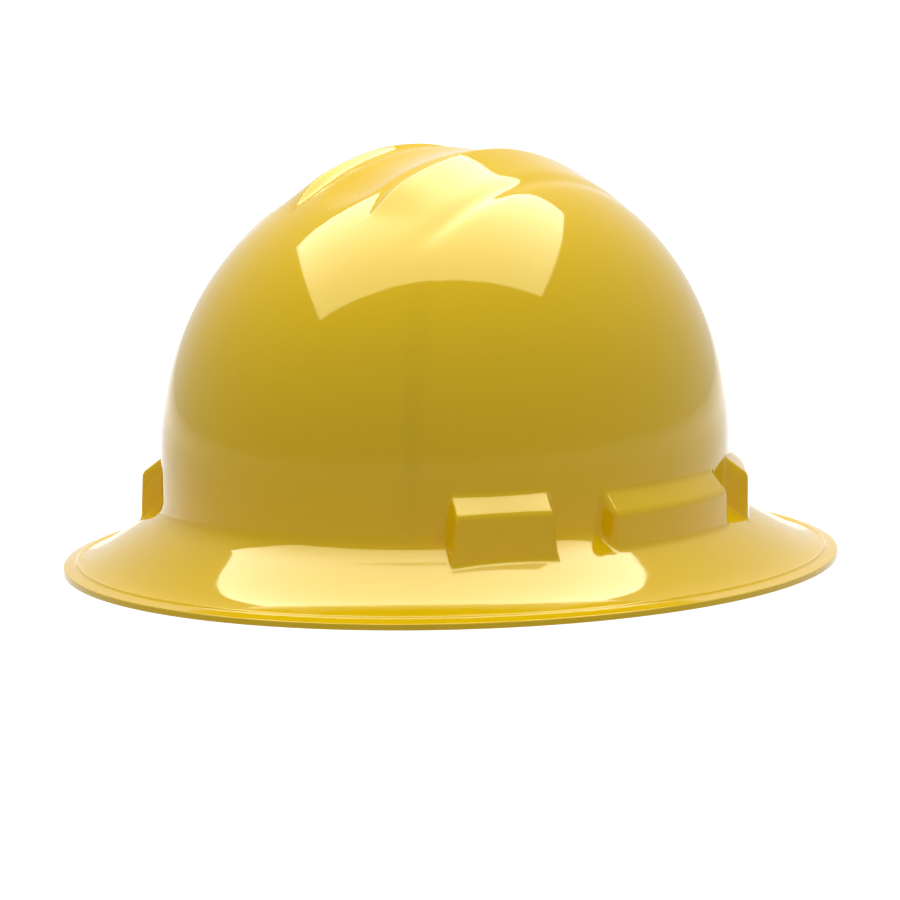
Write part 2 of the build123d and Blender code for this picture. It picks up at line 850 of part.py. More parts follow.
def rack_slot(centre_y, side):
    """Slot that the pinion runs in, toothed above on the left strap and below on the right."""
    plain = pinion_radius + addendum + slot_side_clearance
    tips = pinion_radius - addendum
    low = swing_height - (plain if side > 0 else tips)
    high = swing_height + (tips if side > 0 else plain)
    ring = arc_wall(
        centre_y,
        nape_strap_radius - nape_strap_thickness,
        nape_strap_radius + nape_strap_thickness,
        low,
        high,
    )
    behind = Plane(origin=(0, centre_y, 0), x_dir=(-1, 0, 0), z_dir=(0, 1, 0))
    first = rack_slot_offset - rack_slot_length / 2
    last = rack_slot_offset + rack_slot_length / 2
    left_x = nape_strap_radius * math.sin(first / nape_strap_radius)
    right_x = nape_strap_radius * math.sin(last / nape_strap_radius)
    window = Pos((left_x + right_x) / 2, centre_y + nape_strap_radius, swing_height)
    window *= Box(right_x - left_x, nape_strap_radius, 2 * nape_strap_height)
    cutters = [ring & window]
    outline = rack_gap() if side > 0 else mirror(rack_gap(), Plane.XZ)
    level = swing_height + side * pinion_radius
    tool = extrude(behind * Pos(0, level) * outline, nape_strap_radius + nape_strap_thickness)
    least = math.ceil((first + tooth_pitch / 2) / tooth_pitch)
    most = math.floor((last - tooth_pitch / 2) / tooth_pitch)
    for index in range(least, most + 1):
        turn = math.degrees(index * tooth_pitch / nape_strap_radius)
        cutters.append(Pos(0, centre_y, 0) * Rot(0, 0, -turn) * Pos(0, -centre_y, 0) * tool)
    return cutters


export_step(nape_strap(1), "parts/left_nape_strap.step")
export_step(nape_strap(-1), "parts/right_nape_strap.step")


# Ratchet housing
def housing_block(extra, low, high):
    """Rounded block on the knob's axis that bounds the housing."""
    tall = nape_strap_height + 2 * (housing_slide_clearance + housing_rim + extra)
    outline = RectangleRounded(housing_width + 2 * extra, tall, housing_corner + extra)
    return extrude(rear_face.offset(low) * outline, high - low)


def guide_wall(side, near, far):
    """Curved wall that one of the straps slides on, outside it or inside it."""
    centre_y = pivot_y + side * strap_pitch / 2
    reach = nape_strap_thickness / 2 + housing_slide_clearance
    low = swing_height - nape_strap_height
    high = swing_height + nape_strap_height
    if side > 0:
        start = nape_strap_radius + reach
        return arc_wall(centre_y, start + near, start + far, low, high)
    start = nape_strap_radius - reach
    return arc_wall(centre_y, start - far, start - near, low, high)


def make_ratchet_base():
    """Inner half of the housing, against the nape, with lips over the cover."""
    block = housing_block(0, -nape_strap_radius / 2, guide_reach)
    base = guide_wall(-1, 0, housing_wall) & block
    lip = housing_block(housing_flange, -nape_strap_radius / 2, guide_reach)
    ring = lip - housing_block(housing_seat_gap, -nape_strap_radius, nape_strap_radius)
    ring &= guide_wall(-1, -housing_flange_depth, housing_wall)
    ring &= Pos(0, rack_middle, swing_height) * Box(
        housing_flange_length, nape_strap_radius, 2 * nape_strap_height
    )
    floor = lip & guide_wall(-1, 0, housing_wall)
    floor &= Pos(0, rack_middle, swing_height) * Box(
        housing_flange_length, nape_strap_radius, 2 * nape_strap_height
    )
    base = fused(base, floor, ring)
    return base - disc(pinion_journal_radius + journal_clearance, -knob_reach, knob_reach)


def make_ratchet_cover():
    """Outer half of the housing: guide wall, rims above and below the straps and a collar."""
    block = housing_block(0, -nape_strap_radius / 2, nape_strap_radius / 2)
    wall = guide_wall(1, 0, housing_wall) & block
    inside = nape_strap_height + 2 * housing_slide_clearance
    rims = block - Pos(0, rack_middle, swing_height) * Box(
        2 * housing_width, nape_strap_radius, inside
    )
    rims &= guide_wall(-1, -2 * guide_reach - housing_wall, -housing_seat_gap)
    rims -= guide_wall(1, 0, nape_strap_radius / 2)
    cover = fused(wall, rims)
    outside = guide_reach + housing_wall
    collar = disc(collar_radius, guide_reach + housing_wall / 2, outside + collar_height)
    cover = fused(cover, collar, *collar_keys(outside))
    return cover - disc(pinion_shaft_radius + pinion_shaft_clearance, 0, knob_reach)


def collar_keys(outside):
    """Two keys on the collar that stop the detent spring turning."""
    keys = []
    for side in (-1, 1):
        high = collar_radius + collar_key_height
        outline = Pos(0, side * high / 2) * Rectangle(collar_key_width, high)
        block = extrude(rear_face.offset(outside - housing_wall / 2) * outline, collar_height)
        keys.append(block - disc(pinion_shaft_radius + pinion_shaft_clearance, 0, knob_reach))
    return keys


export_step(make_ratchet_base(), "parts/ratchet_base.step")
export_step(make_ratchet_cover(), "parts/ratchet_cover.step")


# Detent spring
def make_detent_spring():
    """Ring keyed to the collar with two curved arms whose noses face the knob's teeth."""
    low = guide_reach + housing_wall + detent_clearance / 2
    inner = collar_radius + detent_clearance
    outer = inner + detent_ring_width + collar_key_height
    arm_inner = outer + detent_arm_gap
    arm_outer = arm_inner + detent_arm_width
    tooth_circle = knob_radius - knob_skirt_wall - detent_tooth_depth
    outline = Circle(outer) - Circle(inner)
    key = Rectangle(collar_key_width + 2 * detent_clearance, 2 * (inner + collar_key_height))
    outline -= key
    sweep = math.radians(detent_arm_angle)
    reach = 2 * arm_outer
    for turn in (0, 180):
        sector = Polyline(
            (0, 0),
            (reach, 0),
            (reach, reach * math.tan(sweep / 2)),
            (reach * math.cos(sweep), reach * math.sin(sweep)),
            close=True,
        )
        arm = (Circle(arm_outer) - Circle(arm_inner)) & make_face(sector)
        root_middle = (outer + arm_outer) / 2 - detent_ring_width / 4
        root = Pos(root_middle, detent_nose_width / 2)
        root *= Rectangle(arm_outer - outer + detent_ring_width / 2, detent_nose_width)
        nose_far = tooth_circle - detent_clearance
        nose = Pos((arm_inner + nose_far) / 2, 0) * Rectangle(nose_far - arm_inner, detent_nose_width)
        tip = math.degrees(sweep - detent_nose_width / 2 / arm_outer)
        outline += Rot(0, 0, turn) * (arm + root + Rot(0, 0, tip) * nose)
    return extrude(rear_face.offset(low) * outline, detent_thickness)


export_step(make_detent_spring(), "parts/detent_spring.step")


# Drive pinion
def pinion_outline():
    """Ten-tooth gear with involute flanks, thinned for backlash."""
    base = pinion_radius * math.cos(math.radians(pressure_angle))
    tip = pinion_radius + addendum
    root = pinion_radius - dedendum
    inv_pitch = math.tan(math.radians(pressure_angle)) - math.radians(pressure_angle)
    half_pitch = math.pi / 2 / pinion_teeth - backlash / 4 / pinion_radius
    gear = Circle(root)
    flank_shares = (0.0, 0.35, 0.7, 1.0)
    for index in range(pinion_teeth):
        flank = []
        for share in flank_shares:
            radius = base + (tip - base) * share
            roll = math.acos(base / radius)
            half = half_pitch + inv_pitch - (math.tan(roll) - roll)
            flank.append((radius * math.sin(half), radius * math.cos(half)))
        foot = flank[0][0]
        points = [(foot, root / 2)] + flank
        points += [(-x, y) for x, y in reversed(flank)] + [(-foot, root / 2)]
        gear += Rot(0, 0, index * 360 / pinion_teeth) * make_face(Polyline(*points, close=True))
    return gear


def make_pinion():
    """Pinion with its inner journal, its shaft through the cover and a hexagonal end."""
    teeth_low = -guide_reach + pinion_face_clearance
    teeth_high = guide_reach - pinion_face_clearance
    gear = extrude(rear_face.offset(teeth_low) * pinion_outline(), teeth_high - teeth_low)
    journal = disc(pinion_journal_radius, -guide_reach - housing_wall, teeth_low + overrun)
    shaft_end = guide_reach + housing_wall + knob_clearance
    shaft_end += knob_thickness - knob_recess_depth
    shaft = disc(pinion_shaft_radius, teeth_high - overrun, shaft_end - pinion_hex_length / 2)
    hexagon = RegularPolygon(pinion_hex_width / 2, 6, major_radius=False)
    end = extrude(rear_face.offset(teeth_high) * hexagon, shaft_end - teeth_high)
    pinion = fused(gear, journal, shaft, end)
    bore_low = shaft_end - knob_screw_length + fit_gap
    return pinion - disc(knob_screw_radius + fit_gap, bore_low, shaft_end + overrun)


export_step(make_pinion(), "parts/drive_pinion.step")


# Knob
def make_knob():
    """Grip knob: scalloped rim, hub on the hexagon, and internal teeth for the detent."""
    low = guide_reach + housing_wall + knob_clearance
    high = low + knob_thickness
    outline = Circle(knob_radius)
    for index in range(knob_lobes):
        spot = Pos(knob_radius + knob_scallop_radius - knob_scallop_depth, 0)
        outline -= Rot(0, 0, index * 360 / knob_lobes) * spot * Circle(knob_scallop_radius)
    body = extrude(rear_face.offset(low) * outline, knob_thickness)
    top = [edge for edge in body.edges() if edge.center().Y > rack_middle + high - knob_edge_fillet / 4]
    body = chamfer(top, knob_edge_fillet)
    inside = knob_radius - knob_skirt_wall
    recess = Circle(inside)
    for index in range(detent_teeth):
        turn = Rot(0, 0, index * 360 / detent_teeth)
        recess -= turn * Pos(inside, 0) * RegularPolygon(detent_tooth_depth, 4)
    recess -= Circle(knob_hub_radius)
    body -= extrude(rear_face.offset(low - overrun) * recess, knob_recess_depth + overrun)
    shaft_end = high - knob_recess_depth
    collar_top = guide_reach + housing_wall + collar_height + knob_clearance
    body -= disc(collar_radius + knob_clearance, low - overrun, collar_top)
    hexagon = RegularPolygon(pinion_hex_width / 2 + fit_gap, 6, major_radius=False)
    body -= extrude(rear_face.offset(low - overrun) * hexagon, shaft_end + fit_gap - low + overrun)
    body -= disc(pinion_shaft_radius + fit_gap, low - overrun, shaft_end - pinion_hex_length / 2 + fit_gap)
    body -= disc(knob_screw_radius + fit_gap, low, high)
    return body - disc(knob_screw_head_radius + fit_gap, high - knob_screw_head, high + overrun)


export_step(make_knob(), "parts/ratchet_knob.step")


# Knob screw
def make_knob_screw():
    """Screw that holds the knob on the pinion, with a plain slot in its head."""
    face = guide_reach + housing_wall + knob_clearance + knob_thickness - knob_screw_head
    shaft_end = face + knob_screw_head - knob_recess_depth
    head = disc(knob_screw_head_radius, face, face + knob_screw_head)
    shank = disc(knob_screw_radius, shaft_end - knob_screw_length + 2 * fit_gap, face)
    slot = Rectangle(2 * knob_screw_head_radius, knob_screw_slot)
    cut = rear_face.offset(face + knob_screw_head / 2) * slot
    return fused(head, shank) - extrude(cut, knob_screw_head)


export_step(make_knob_screw(), "parts/knob_screw.step")


# Nape pad
def make_nape_pad():
    """Soft pad on the inner face of the ratchet, thickest in the middle of its height."""
    centre_y = pivot_y - strap_pitch / 2
    reach = nape_strap_thickness / 2 + housing_slide_clearance + housing_wall + nape_pad_clearance
    outer = nape_strap_radius - reach
    half = nape_pad_height / 2
    outline = Curve() + [
        Line((outer, -half), (outer, half)),
        Line((outer, half), (outer - nape_pad_edge, half)),
        ThreePointArc(
            (outer - nape_pad_edge, half),
            (outer - nape_pad_thickness, 0),
            (outer - nape_pad_edge, -half),
        ),
        Line((outer - nape_pad_edge, -half), (outer, -half)),
    ]
    section = Plane(origin=(0, centre_y, swing_height), x_dir=(1, 0, 0), z_dir=(0, -1, 0))
    axis = Axis((0, centre_y, 0), (0, 0, 1))
    pad = revolve(section * make_face(outline), axis, revolution_arc=180)
    window = Pos(0, centre_y + nape_strap_radius, swing_height)
    return pad & window * Box(nape_pad_width, nape_strap_radius, 2 * nape_pad_height)


export_step(make_nape_pad(), "parts/nape_pad.step")
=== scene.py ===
import math

import bmesh
import bpy
from mathutils import Matrix, Vector


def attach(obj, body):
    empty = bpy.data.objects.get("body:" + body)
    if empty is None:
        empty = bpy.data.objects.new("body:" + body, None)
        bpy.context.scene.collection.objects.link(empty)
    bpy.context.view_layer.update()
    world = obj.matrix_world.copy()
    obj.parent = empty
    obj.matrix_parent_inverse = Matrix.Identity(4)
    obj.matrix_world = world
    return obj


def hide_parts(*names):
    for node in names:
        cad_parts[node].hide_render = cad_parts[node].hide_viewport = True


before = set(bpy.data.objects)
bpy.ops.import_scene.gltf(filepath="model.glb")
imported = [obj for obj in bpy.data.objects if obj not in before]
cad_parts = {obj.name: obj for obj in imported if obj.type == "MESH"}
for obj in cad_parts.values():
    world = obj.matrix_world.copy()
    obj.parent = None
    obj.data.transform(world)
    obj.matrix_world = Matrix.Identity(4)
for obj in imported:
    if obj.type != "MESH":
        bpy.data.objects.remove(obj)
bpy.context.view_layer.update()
print("frame loaded with", len(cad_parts), "nodes")


# Small helpers for shapes
def ease(t):
    t = min(1.0, max(0.0, t))
    return t * t * (3 - 2 * t)


def mix(a, b, t):
    return a + (b - a) * t


def softMin(a, b, radius):
    # the lower of two heights, with the corner between them rounded off
    gap = max(radius - abs(a - b), 0.0) / radius
    return min(a, b) - gap * gap * radius / 4


def softMax(a, b, radius):
    return -softMin(-a, -b, radius)


def spacedValues(low, high, count, marks):
    # count steps from low to high, closer together near each mark (place, width, strength)
    samples = 4000
    total = [0.0]
    for k in range(samples):
        place = mix(low, high, (k + 0.5) / samples)
        weight = 1.0
        for spot, width, strength in marks:
            weight += strength * math.exp(-((place - spot) / width) ** 2)
        total.append(total[-1] + weight)
    values = []
    k = 0
    for step in range(count + 1):
        goal = total[-1] * step / count
        while k < samples - 1 and total[k + 1] < goal:
            k += 1
        part = (goal - total[k]) / (total[k + 1] - total[k])
        values.append(mix(low, high, (k + part) / samples))
    return values


def readCurve(table, place):
    # smooth curve through (place, value) pairs that are in order
    last = len(table) - 2
    k = 0
    while k < last and place > table[k + 1][0]:
        k += 1
    x0, y0 = table[k]
    x1, y1 = table[k + 1]
    before = table[k - 1] if k > 0 else table[k]
    after = table[k + 2] if k < last else table[k + 1]
    slope0 = (y1 - before[1]) / (x1 - before[0])
    slope1 = (after[1] - y0) / (after[0] - x0)
    span = x1 - x0
    t = (place - x0) / span
    return (
        y0 * (2 * t**3 - 3 * t**2 + 1)
        + y1 * (3 * t**2 - 2 * t**3)
        + slope0 * span * (t**3 - 2 * t**2 + t)
        + slope1 * span * (t**3 - t**2)
    )


def settleOrder(items, placeOf):
    # operators return their elements in another order each run; sorted by place, it is the same
    for rank, item in enumerate(sorted(items, key=placeOf)):
        item.index = rank
    items.sort()


def makeObject(name, bm, material, flatAngle=None):
    settleOrder(bm.verts, lambda vert: vert.co[:])
    settleOrder(bm.edges, lambda edge: (edge.verts[0].co + edge.verts[1].co)[:])
    settleOrder(bm.faces, lambda face: face.calc_center_median()[:])
    mesh = bpy.data.meshes.new(name)
    bm.to_mesh(mesh)
    bm.free()
    for face in mesh.polygons:
        face.use_smooth = True
    if flatAngle is not None:
        mesh.set_sharp_from_angle(angle=math.radians(flatAngle))
    piece = bpy.data.objects.new(name, mesh)
    bpy.context.scene.collection.objects.link(piece)
    mesh.materials.append(material)
    return piece


def extrudeLoop(bm, loop, columnOf, places):
    # one more ring of faces from an open loop of edges, its corners put at the given places
    made = bmesh.ops.extrude_edge_only(bm, edges=loop)["geom"]
    nextColumn = {}
    for vert in [item for item in made if isinstance(item, bmesh.types.BMVert)]:
        for edge in vert.link_edges:
            other = edge.other_vert(vert)
            if other in columnOf:
                nextColumn[vert] = columnOf[other]
    for vert, index in nextColumn.items():
        vert.co = places[index]
    edges = [item for item in made if isinstance(item, bmesh.types.BMEdge)]
    return [edge for edge in edges if all(vert in nextColumn for vert in edge.verts)], nextColumn


def skinRings(bm, rings, spread):
    # closed skin through rings of points, in an empty bmesh; spread gives each ring point its
    # place across the cloth
    count = len(rings[0])
    verts = bmesh.ops.create_circle(bm, cap_ends=True, segments=count, radius=1)["verts"]
    for vert, place in zip(verts, rings[0]):
        vert.co = place
    columnOf = {vert: index for index, vert in enumerate(verts)}
    spots = {vert: (0.0, spread[index]) for vert, index in columnOf.items()}
    loop = bm.edges[:]
    run = 0.0
    for before, ring in zip(rings, rings[1:]):
        run += sum((b - a).length for a, b in zip(before, ring)) / count
        loop, columnOf = extrudeLoop(bm, loop, columnOf, ring)
        for vert, index in columnOf.items():
            spots[vert] = (run, spread[index])
    bmesh.ops.edgeloop_fill(bm, edges=loop)
    bmesh.ops.recalc_face_normals(bm, faces=bm.faces)
    layer = bm.loops.layers.uv.new("UVMap")
    for face in bm.faces:
        for corner in face.loops:
            corner[layer].uv = spots[corner.vert]
    return run


def sewLine(bm, surface, start, finish, stitch):
    # row of stitches on a surface(u, v), from start to finish
    ahead, aside = finish[0] - start[0], finish[1] - start[1]
    count = max(1, round(math.hypot(ahead, aside) / stitch["pitch"]))
    step = stitch["pitch"] / 4
    for k in range(count):
        t = (k + 0.5) / count
        u, v = start[0] + ahead * t, start[1] + aside * t
        alongU = (surface(u + step, v) - surface(u - step, v)).normalized()
        alongV = (surface(u, v + step) - surface(u, v - step)).normalized()
        run = (alongU * ahead + alongV * aside).normalized()
        up = alongU.cross(alongV).normalized()
        turn = Matrix((run, up.cross(run), up)).transposed().to_4x4()
        size = Matrix.Diagonal((stitch["length"] / 2, stitch["thick"] / 2, stitch["thick"] / 3, 1))
        place = Matrix.Translation(surface(u, v)) @ turn @ size
        bmesh.ops.create_uvsphere(bm, u_segments=6, v_segments=4, radius=1, matrix=place)


# Shader helpers
def startMaterial(name, rough, metal=0.0):
    material = bpy.data.materials.new(name)
    material.use_nodes = True
    tree = material.node_tree
    shader = tree.nodes["Principled BSDF"]
    setInputs(tree, shader, {"Roughness": rough, "Metallic": metal})
    return material, tree, shader


def setInputs(tree, node, feeds):
    # each input is fed by another node's output, or set to a plain value
    for key, source in feeds.items():
        if isinstance(source, bpy.types.NodeSocket):
            tree.links.new(source, node.inputs[key])
        else:
            node.inputs[key].default_value = source


def addNode(tree, kind, feeds=None, **values):
    node = tree.nodes.new(kind)
    for key, value in values.items():
        setattr(node, key, value)
    setInputs(tree, node, feeds or {})
    return node


def addMath(tree, operation, *inputs):
    return addNode(tree, "ShaderNodeMath", dict(enumerate(inputs)), operation=operation).outputs[0]


def groupShell(name, inputs, outputs):
    group = bpy.data.node_groups.new(name, "ShaderNodeTree")
    for label, kind, value in inputs:
        group.interface.new_socket(label, in_out="INPUT", socket_type=kind).default_value = value
    for label, kind in outputs:
        group.interface.new_socket(label, in_out="OUTPUT", socket_type=kind)
    return group, group.nodes.new("NodeGroupInput").outputs, group.nodes.new("NodeGroupOutput")


def makeMouldGroup():
    # colour drift, handling marks and fine grain that every moulded piece shares
    group, start, end = groupShell(
        "mouldedSurface",
        [
            ("Color", "NodeSocketColor", (0.5, 0.5, 0.5, 1)),
            ("Drift", "NodeSocketFloat", 0.04),
            ("Gloss", "NodeSocketFloat", 0.3),
            ("Marks", "NodeSocketFloat", 0.1),
            ("Grain Scale", "NodeSocketFloat", 1500.0),
            ("Grain", "NodeSocketFloat", 0.2),
            ("Wave Scale", "NodeSocketFloat", 60.0),
            ("Wave", "NodeSocketFloat", 0.1),
        ],
        [("Color", "NodeSocketColor"), ("Roughness", "NodeSocketFloat"), ("Height", "NodeSocketFloat")],
    )
    place = group.nodes.new("ShaderNodeTexCoord").outputs["Object"]

    def noise(**settings):
        return addNode(group, "ShaderNodeTexNoise", {"Vector": place, **settings}).outputs["Fac"]

    slow = noise(Scale=18.0, Detail=3.0)
    marks = noise(Scale=140.0, Detail=6.0, Roughness=0.7)
    grain = noise(Scale=start["Grain Scale"], Detail=2.0)
    wave = noise(Scale=start["Wave Scale"], Detail=1.0)
    drift = addMath(group, "MULTIPLY_ADD", addMath(group, "SUBTRACT", slow, 0.5), start["Drift"], 1.0)
    tint = addNode(group, "ShaderNodeHueSaturation", {"Color": start["Color"], "Value": drift})
    rub = addNode(group, "ShaderNodeMapRange", {"Value": marks, "From Min": 0.45, "From Max": 0.75})
    rough = addMath(group, "MULTIPLY_ADD", rub.outputs[0], start["Marks"], start["Gloss"])
    fine = addMath(group, "MULTIPLY", grain, start["Grain"])
    broad = addMath(group, "MULTIPLY_ADD", wave, start["Wave"], fine)
    setInputs(group, end, {"Color": tint.outputs[0], "Roughness": rough, "Height": broad})
    return group


mouldGroup = makeMouldGroup()


def addBump(tree, shader, height, depth):
    bump = addNode(tree, "ShaderNodeBump", {"Height": height, "Distance": depth})
    setInputs(tree, shader, {"Normal": bump.outputs[0]})


def mouldMaterial(name, color, gloss, depth, changes):
    # changes are inputs of the shared group that differ from the usual ones
    material, tree, shader = startMaterial(name, gloss)
    usual = {"Drift": 0.05, "Marks": 0.08, "Grain": 0.2, "Grain Scale": 1500, "Wave": 0.1, "Wave Scale": 60}
    surface = addNode(tree, "ShaderNodeGroup", node_tree=mouldGroup)
    setInputs(tree, surface, {**usual, **changes, "Color": (*color, 1), "Gloss": gloss})
    made = surface.outputs
    setInputs(tree, shader, {"Base Color": made["Color"], "Roughness": made["Roughness"]})
    addBump(tree, shader, made["Height"], depth)
    return material


def clothMaterial(name, color, threadScale, depth, sheen, follows="UV"):
    # woven cloth; it follows the piece's own UV map, in metres along and across, or object space
    material, tree, shader = startMaterial(name, 0.85)
    place = tree.nodes.new("ShaderNodeTexCoord").outputs[follows]
    warp = addNode(tree, "ShaderNodeTexWave", {"Vector": place, "Scale": threadScale}, bands_direction="X")
    feeds = {"Vector": place, "Scale": threadScale * 0.8}
    weft = addNode(tree, "ShaderNodeTexWave", feeds, bands_direction="Y")
    slub = addNode(tree, "ShaderNodeTexNoise", {"Vector": place, "Scale": threadScale * 0.6, "Detail": 3.0})
    weave = addMath(tree, "MULTIPLY", warp.outputs["Fac"], weft.outputs["Fac"])
    height = addMath(tree, "MULTIPLY_ADD", slub.outputs["Fac"], 0.5, weave)
    # the color mix has its own two inputs at 6 and 7, and its output at 2
    dark, light = [(*(channel * share for channel in color), 1) for share in (0.55, 1.15)]
    ramp = addNode(tree, "ShaderNodeMix", {"Factor": height, 6: dark, 7: light}, data_type="RGBA")
    setInputs(tree, shader, {"Base Color": ramp.outputs[2], "Sheen Weight": sheen, "Sheen Roughness": 0.5})
    addBump(tree, shader, height, depth)
    return material


colors = {
    "shell": (0.86, 0.555, 0.0005),
    "key": (0.030, 0.030, 0.032),
    "band": (0.026, 0.026, 0.028),
    "housing": (0.020, 0.020, 0.022),
    "knob": (0.016, 0.016, 0.018),
    "rivet": (0.05, 0.05, 0.052),
    "acetal": (0.62, 0.60, 0.55),
    "webbing": (0.30, 0.31, 0.33),
    "pad": (0.045, 0.047, 0.053),
    "thread": (0.55, 0.56, 0.58),
}
# gloss, depth of the relief in metres, and what differs from the usual finish
moulded = {
    "shell": (0.05, 0.00004, {"Marks": 0.02, "Drift": 0.03, "Grain": 0.0, "Wave Scale": 45, "Wave": 1.0}),
    "key": (0.42, 0.00006, {"Marks": 0.15, "Grain": 0.5}),
    "band": (0.38, 0.00005, {"Marks": 0.18, "Grain": 0.4}),
    "housing": (0.5, 0.0001, {"Marks": 0.1, "Grain Scale": 1100, "Grain": 1.0}),
    "knob": (0.5, 0.0001, {"Marks": 0.12, "Grain Scale": 900, "Grain": 1.0}),
    "rivet": (0.34, 0.00005, {"Marks": 0.1, "Grain": 0.3}),
    "acetal": (0.3, 0.00004, {"Marks": 0.1}),
}
plastics = {key: mouldMaterial(key + "Plastic", colors[key], *finish) for key, finish in moulded.items()}
shellShader = plastics["shell"].node_tree.nodes["Principled BSDF"]
shellShader.inputs["Specular Tint"].default_value = (1.0, 0.93, 0.5, 1)
shellShader.inputs["Specular IOR Level"].default_value = 0.4
webbingCloth = clothMaterial("webbingCloth", colors["webbing"], 420.0, 0.00035, 0.3)
padCloth = clothMaterial("padCloth", colors["pad"], 620.0, 0.0003, 0.6)
threadCloth = clothMaterial("threadCloth", colors["thread"], 1200.0, 0.0001, 0.2, "Object")


def steelMaterial():
    # screw steel, finely gritted
    material, tree, shader = startMaterial("screwSteel", 0.3, 1.0)
    place = tree.nodes.new("ShaderNodeTexCoord").outputs["Object"]
    feeds = {"Vector": place, "Scale": 2600.0, "Detail": 4.0}
    grit = addNode(tree, "ShaderNodeTexNoise", feeds).outputs["Fac"]
    rough = addNode(tree, "ShaderNodeMapRange", {"Value": grit, "To Min": 0.22, "To Max": 0.45}).outputs[0]
    setInputs(tree, shader, {"Roughness": rough, "Base Color": (0.56, 0.56, 0.57, 1)})
    addBump(tree, shader, grit, 0.00003)
    return material


screwSteel = steelMaterial()
print("materials made")


# Shell: one moulding, outside and inside
hat = {
    "domeHalfWidth": 0.1,
    "domeFront": 0.1218,
    "domeRear": 0.109,
    "domeRise": 0.1115,
    "spring": 0.0448,
    "power": 2.05,
    "wall": 0.0026,
    "brimHalfWidth": 0.1374,
    "brimHalfLength": 0.158,
    "flareTop": 0.027,
    "rimHeight": 0.0022,
    "underDrop": 0.002945,
    "ridgeFront": 0.078,
    "ridgeRear": 0.076,
    "ridgeHeight": 0.0048,
    "crest": 0.020,
    "crease": 0.042,
    "ridgeSink": 0.0016,
    "flankAngle": 34.0,
    "channelDepth": 0.0034,
    "channelHalfWidth": 0.012,
    "channelDish": 0.5,
    "groove": 0.0425,
    "grooveWidth": 0.0038,
    "grooveDepth": 0.0019,
    "crestRadius": 0.0009,
    "creaseRadius": 0.0012,
    "capHalfWidth": 0.055,
    "capFront": 0.082,
    "capRear": 0.079,
    "capColumns": 76,
    "capRows": 120,
    "capFrontAngle": -49.4,
    "capRearAngle": 51.8,
    "domeRings": 24,
    "brimRings": 16,
    "beadRings": 12,
    "edgeRings": 4,
    "underRings": 18,
    "underPower": 1.5,
    "innerRings": 5,
    "beadInset": 0.00525,
    "beadHalfWidth": 0.0009,
    "beadHeight": 0.0006,
    "rimRound": 0.0005,
    "flatRing": 0.0034,
    "beadSpread": 1.5,
    "channelRadius": 0.0006,
    "reliefMargin": 0.01,
    "rimSearch": 0.002,
    "weld": 0.000002,
}
brimCurve = (
    (0.0, 1.0), (0.012, 0.89), (0.05, 0.80), (0.12, 0.705), (0.22, 0.60),
    (0.34, 0.48), (0.46, 0.362), (0.58, 0.25), (0.70, 0.15), (0.80, 0.084),
    (0.88, 0.042), (0.94, 0.018), (1.0, 0.0),
)
ridgeCurve = (
    (-1.0, 0.0), (-0.9, 0.1), (-0.72, 0.65), (-0.5, 0.64), (-0.22, 0.61), (0.04, 0.52),
    (0.34, 0.39), (0.6, 0.4), (0.77, 0.45), (0.9, 0.3), (1.0, 0.0),
)


def lengthAt(y):
    # half length of the dome, ahead of the middle or behind it
    return hat["domeFront"] if y < 0 else hat["domeRear"]


def outlinePoint(alpha, inset, reach):
    # plan point between the dome's outline (reach 0) and the rim's (reach 1)
    halfWidth = mix(hat["domeHalfWidth"], hat["brimHalfWidth"], reach) - inset
    length = mix(lengthAt(math.sin(alpha)), hat["brimHalfLength"], reach) - inset
    return halfWidth * math.cos(alpha), length * math.sin(alpha)


def wallAndRim(alpha):
    return [Vector((*outlinePoint(alpha, 0, reach), 0)) for reach in (0, 1)]


def upward(height):
    return Vector((0, 0, height))


def brimHeight(reach):
    top = hat["flareTop"] - hat["rimHeight"]
    return hat["rimHeight"] + top * readCurve(brimCurve, min(1.0, max(0.0, reach)))


def ridgeShare(y):
    place = y / (hat["ridgeFront"] if y < 0 else hat["ridgeRear"])
    return max(0.0, readCurve(ridgeCurve, place)) if abs(place) < 1 else 0.0


def plainHeight(x, y, inset):
    length = lengthAt(y) - inset
    reach = math.hypot(x / (hat["domeHalfWidth"] - inset), y / length)
    power = hat["power"]
    return hat["spring"] + (hat["domeRise"] - inset) * (1 - reach**power) ** (1 / power)


def crownRelief(x, y):
    # how far the ridges stand above the plain dome, or the channel lies below it
    x = abs(x)
    share = ridgeShare(y)
    if share <= 0 or x > hat["crease"] + hat["reliefMargin"]:
        return 0.0
    across = (x - hat["crest"]) / (hat["crease"] - hat["crest"])
    back = (hat["ridgeHeight"] + hat["ridgeSink"]) * share * (1 - across)
    back -= hat["ridgeSink"] * (across + 1 - share)
    crestHeight = plainHeight(hat["crest"], y, 0) + hat["ridgeHeight"] * share
    flank = crestHeight - plainHeight(x, y, 0)
    flank += (x - hat["crest"]) * math.tan(math.radians(hat["flankAngle"]))
    ridge = softMin(back, flank, hat["crestRadius"])
    dish = (hat["channelDepth"] + hat["ridgeSink"]) * hat["channelDish"]
    floor = dish * (x / hat["channelHalfWidth"]) ** 2 - hat["channelDepth"] * share
    low = softMin(0.0, floor, hat["channelRadius"] * share + 1e-7)
    groove = hat["grooveDepth"] * share * math.exp(-(((x - hat["groove"]) / hat["grooveWidth"]) ** 2))
    return softMax(low, ridge, hat["creaseRadius"]) - groove


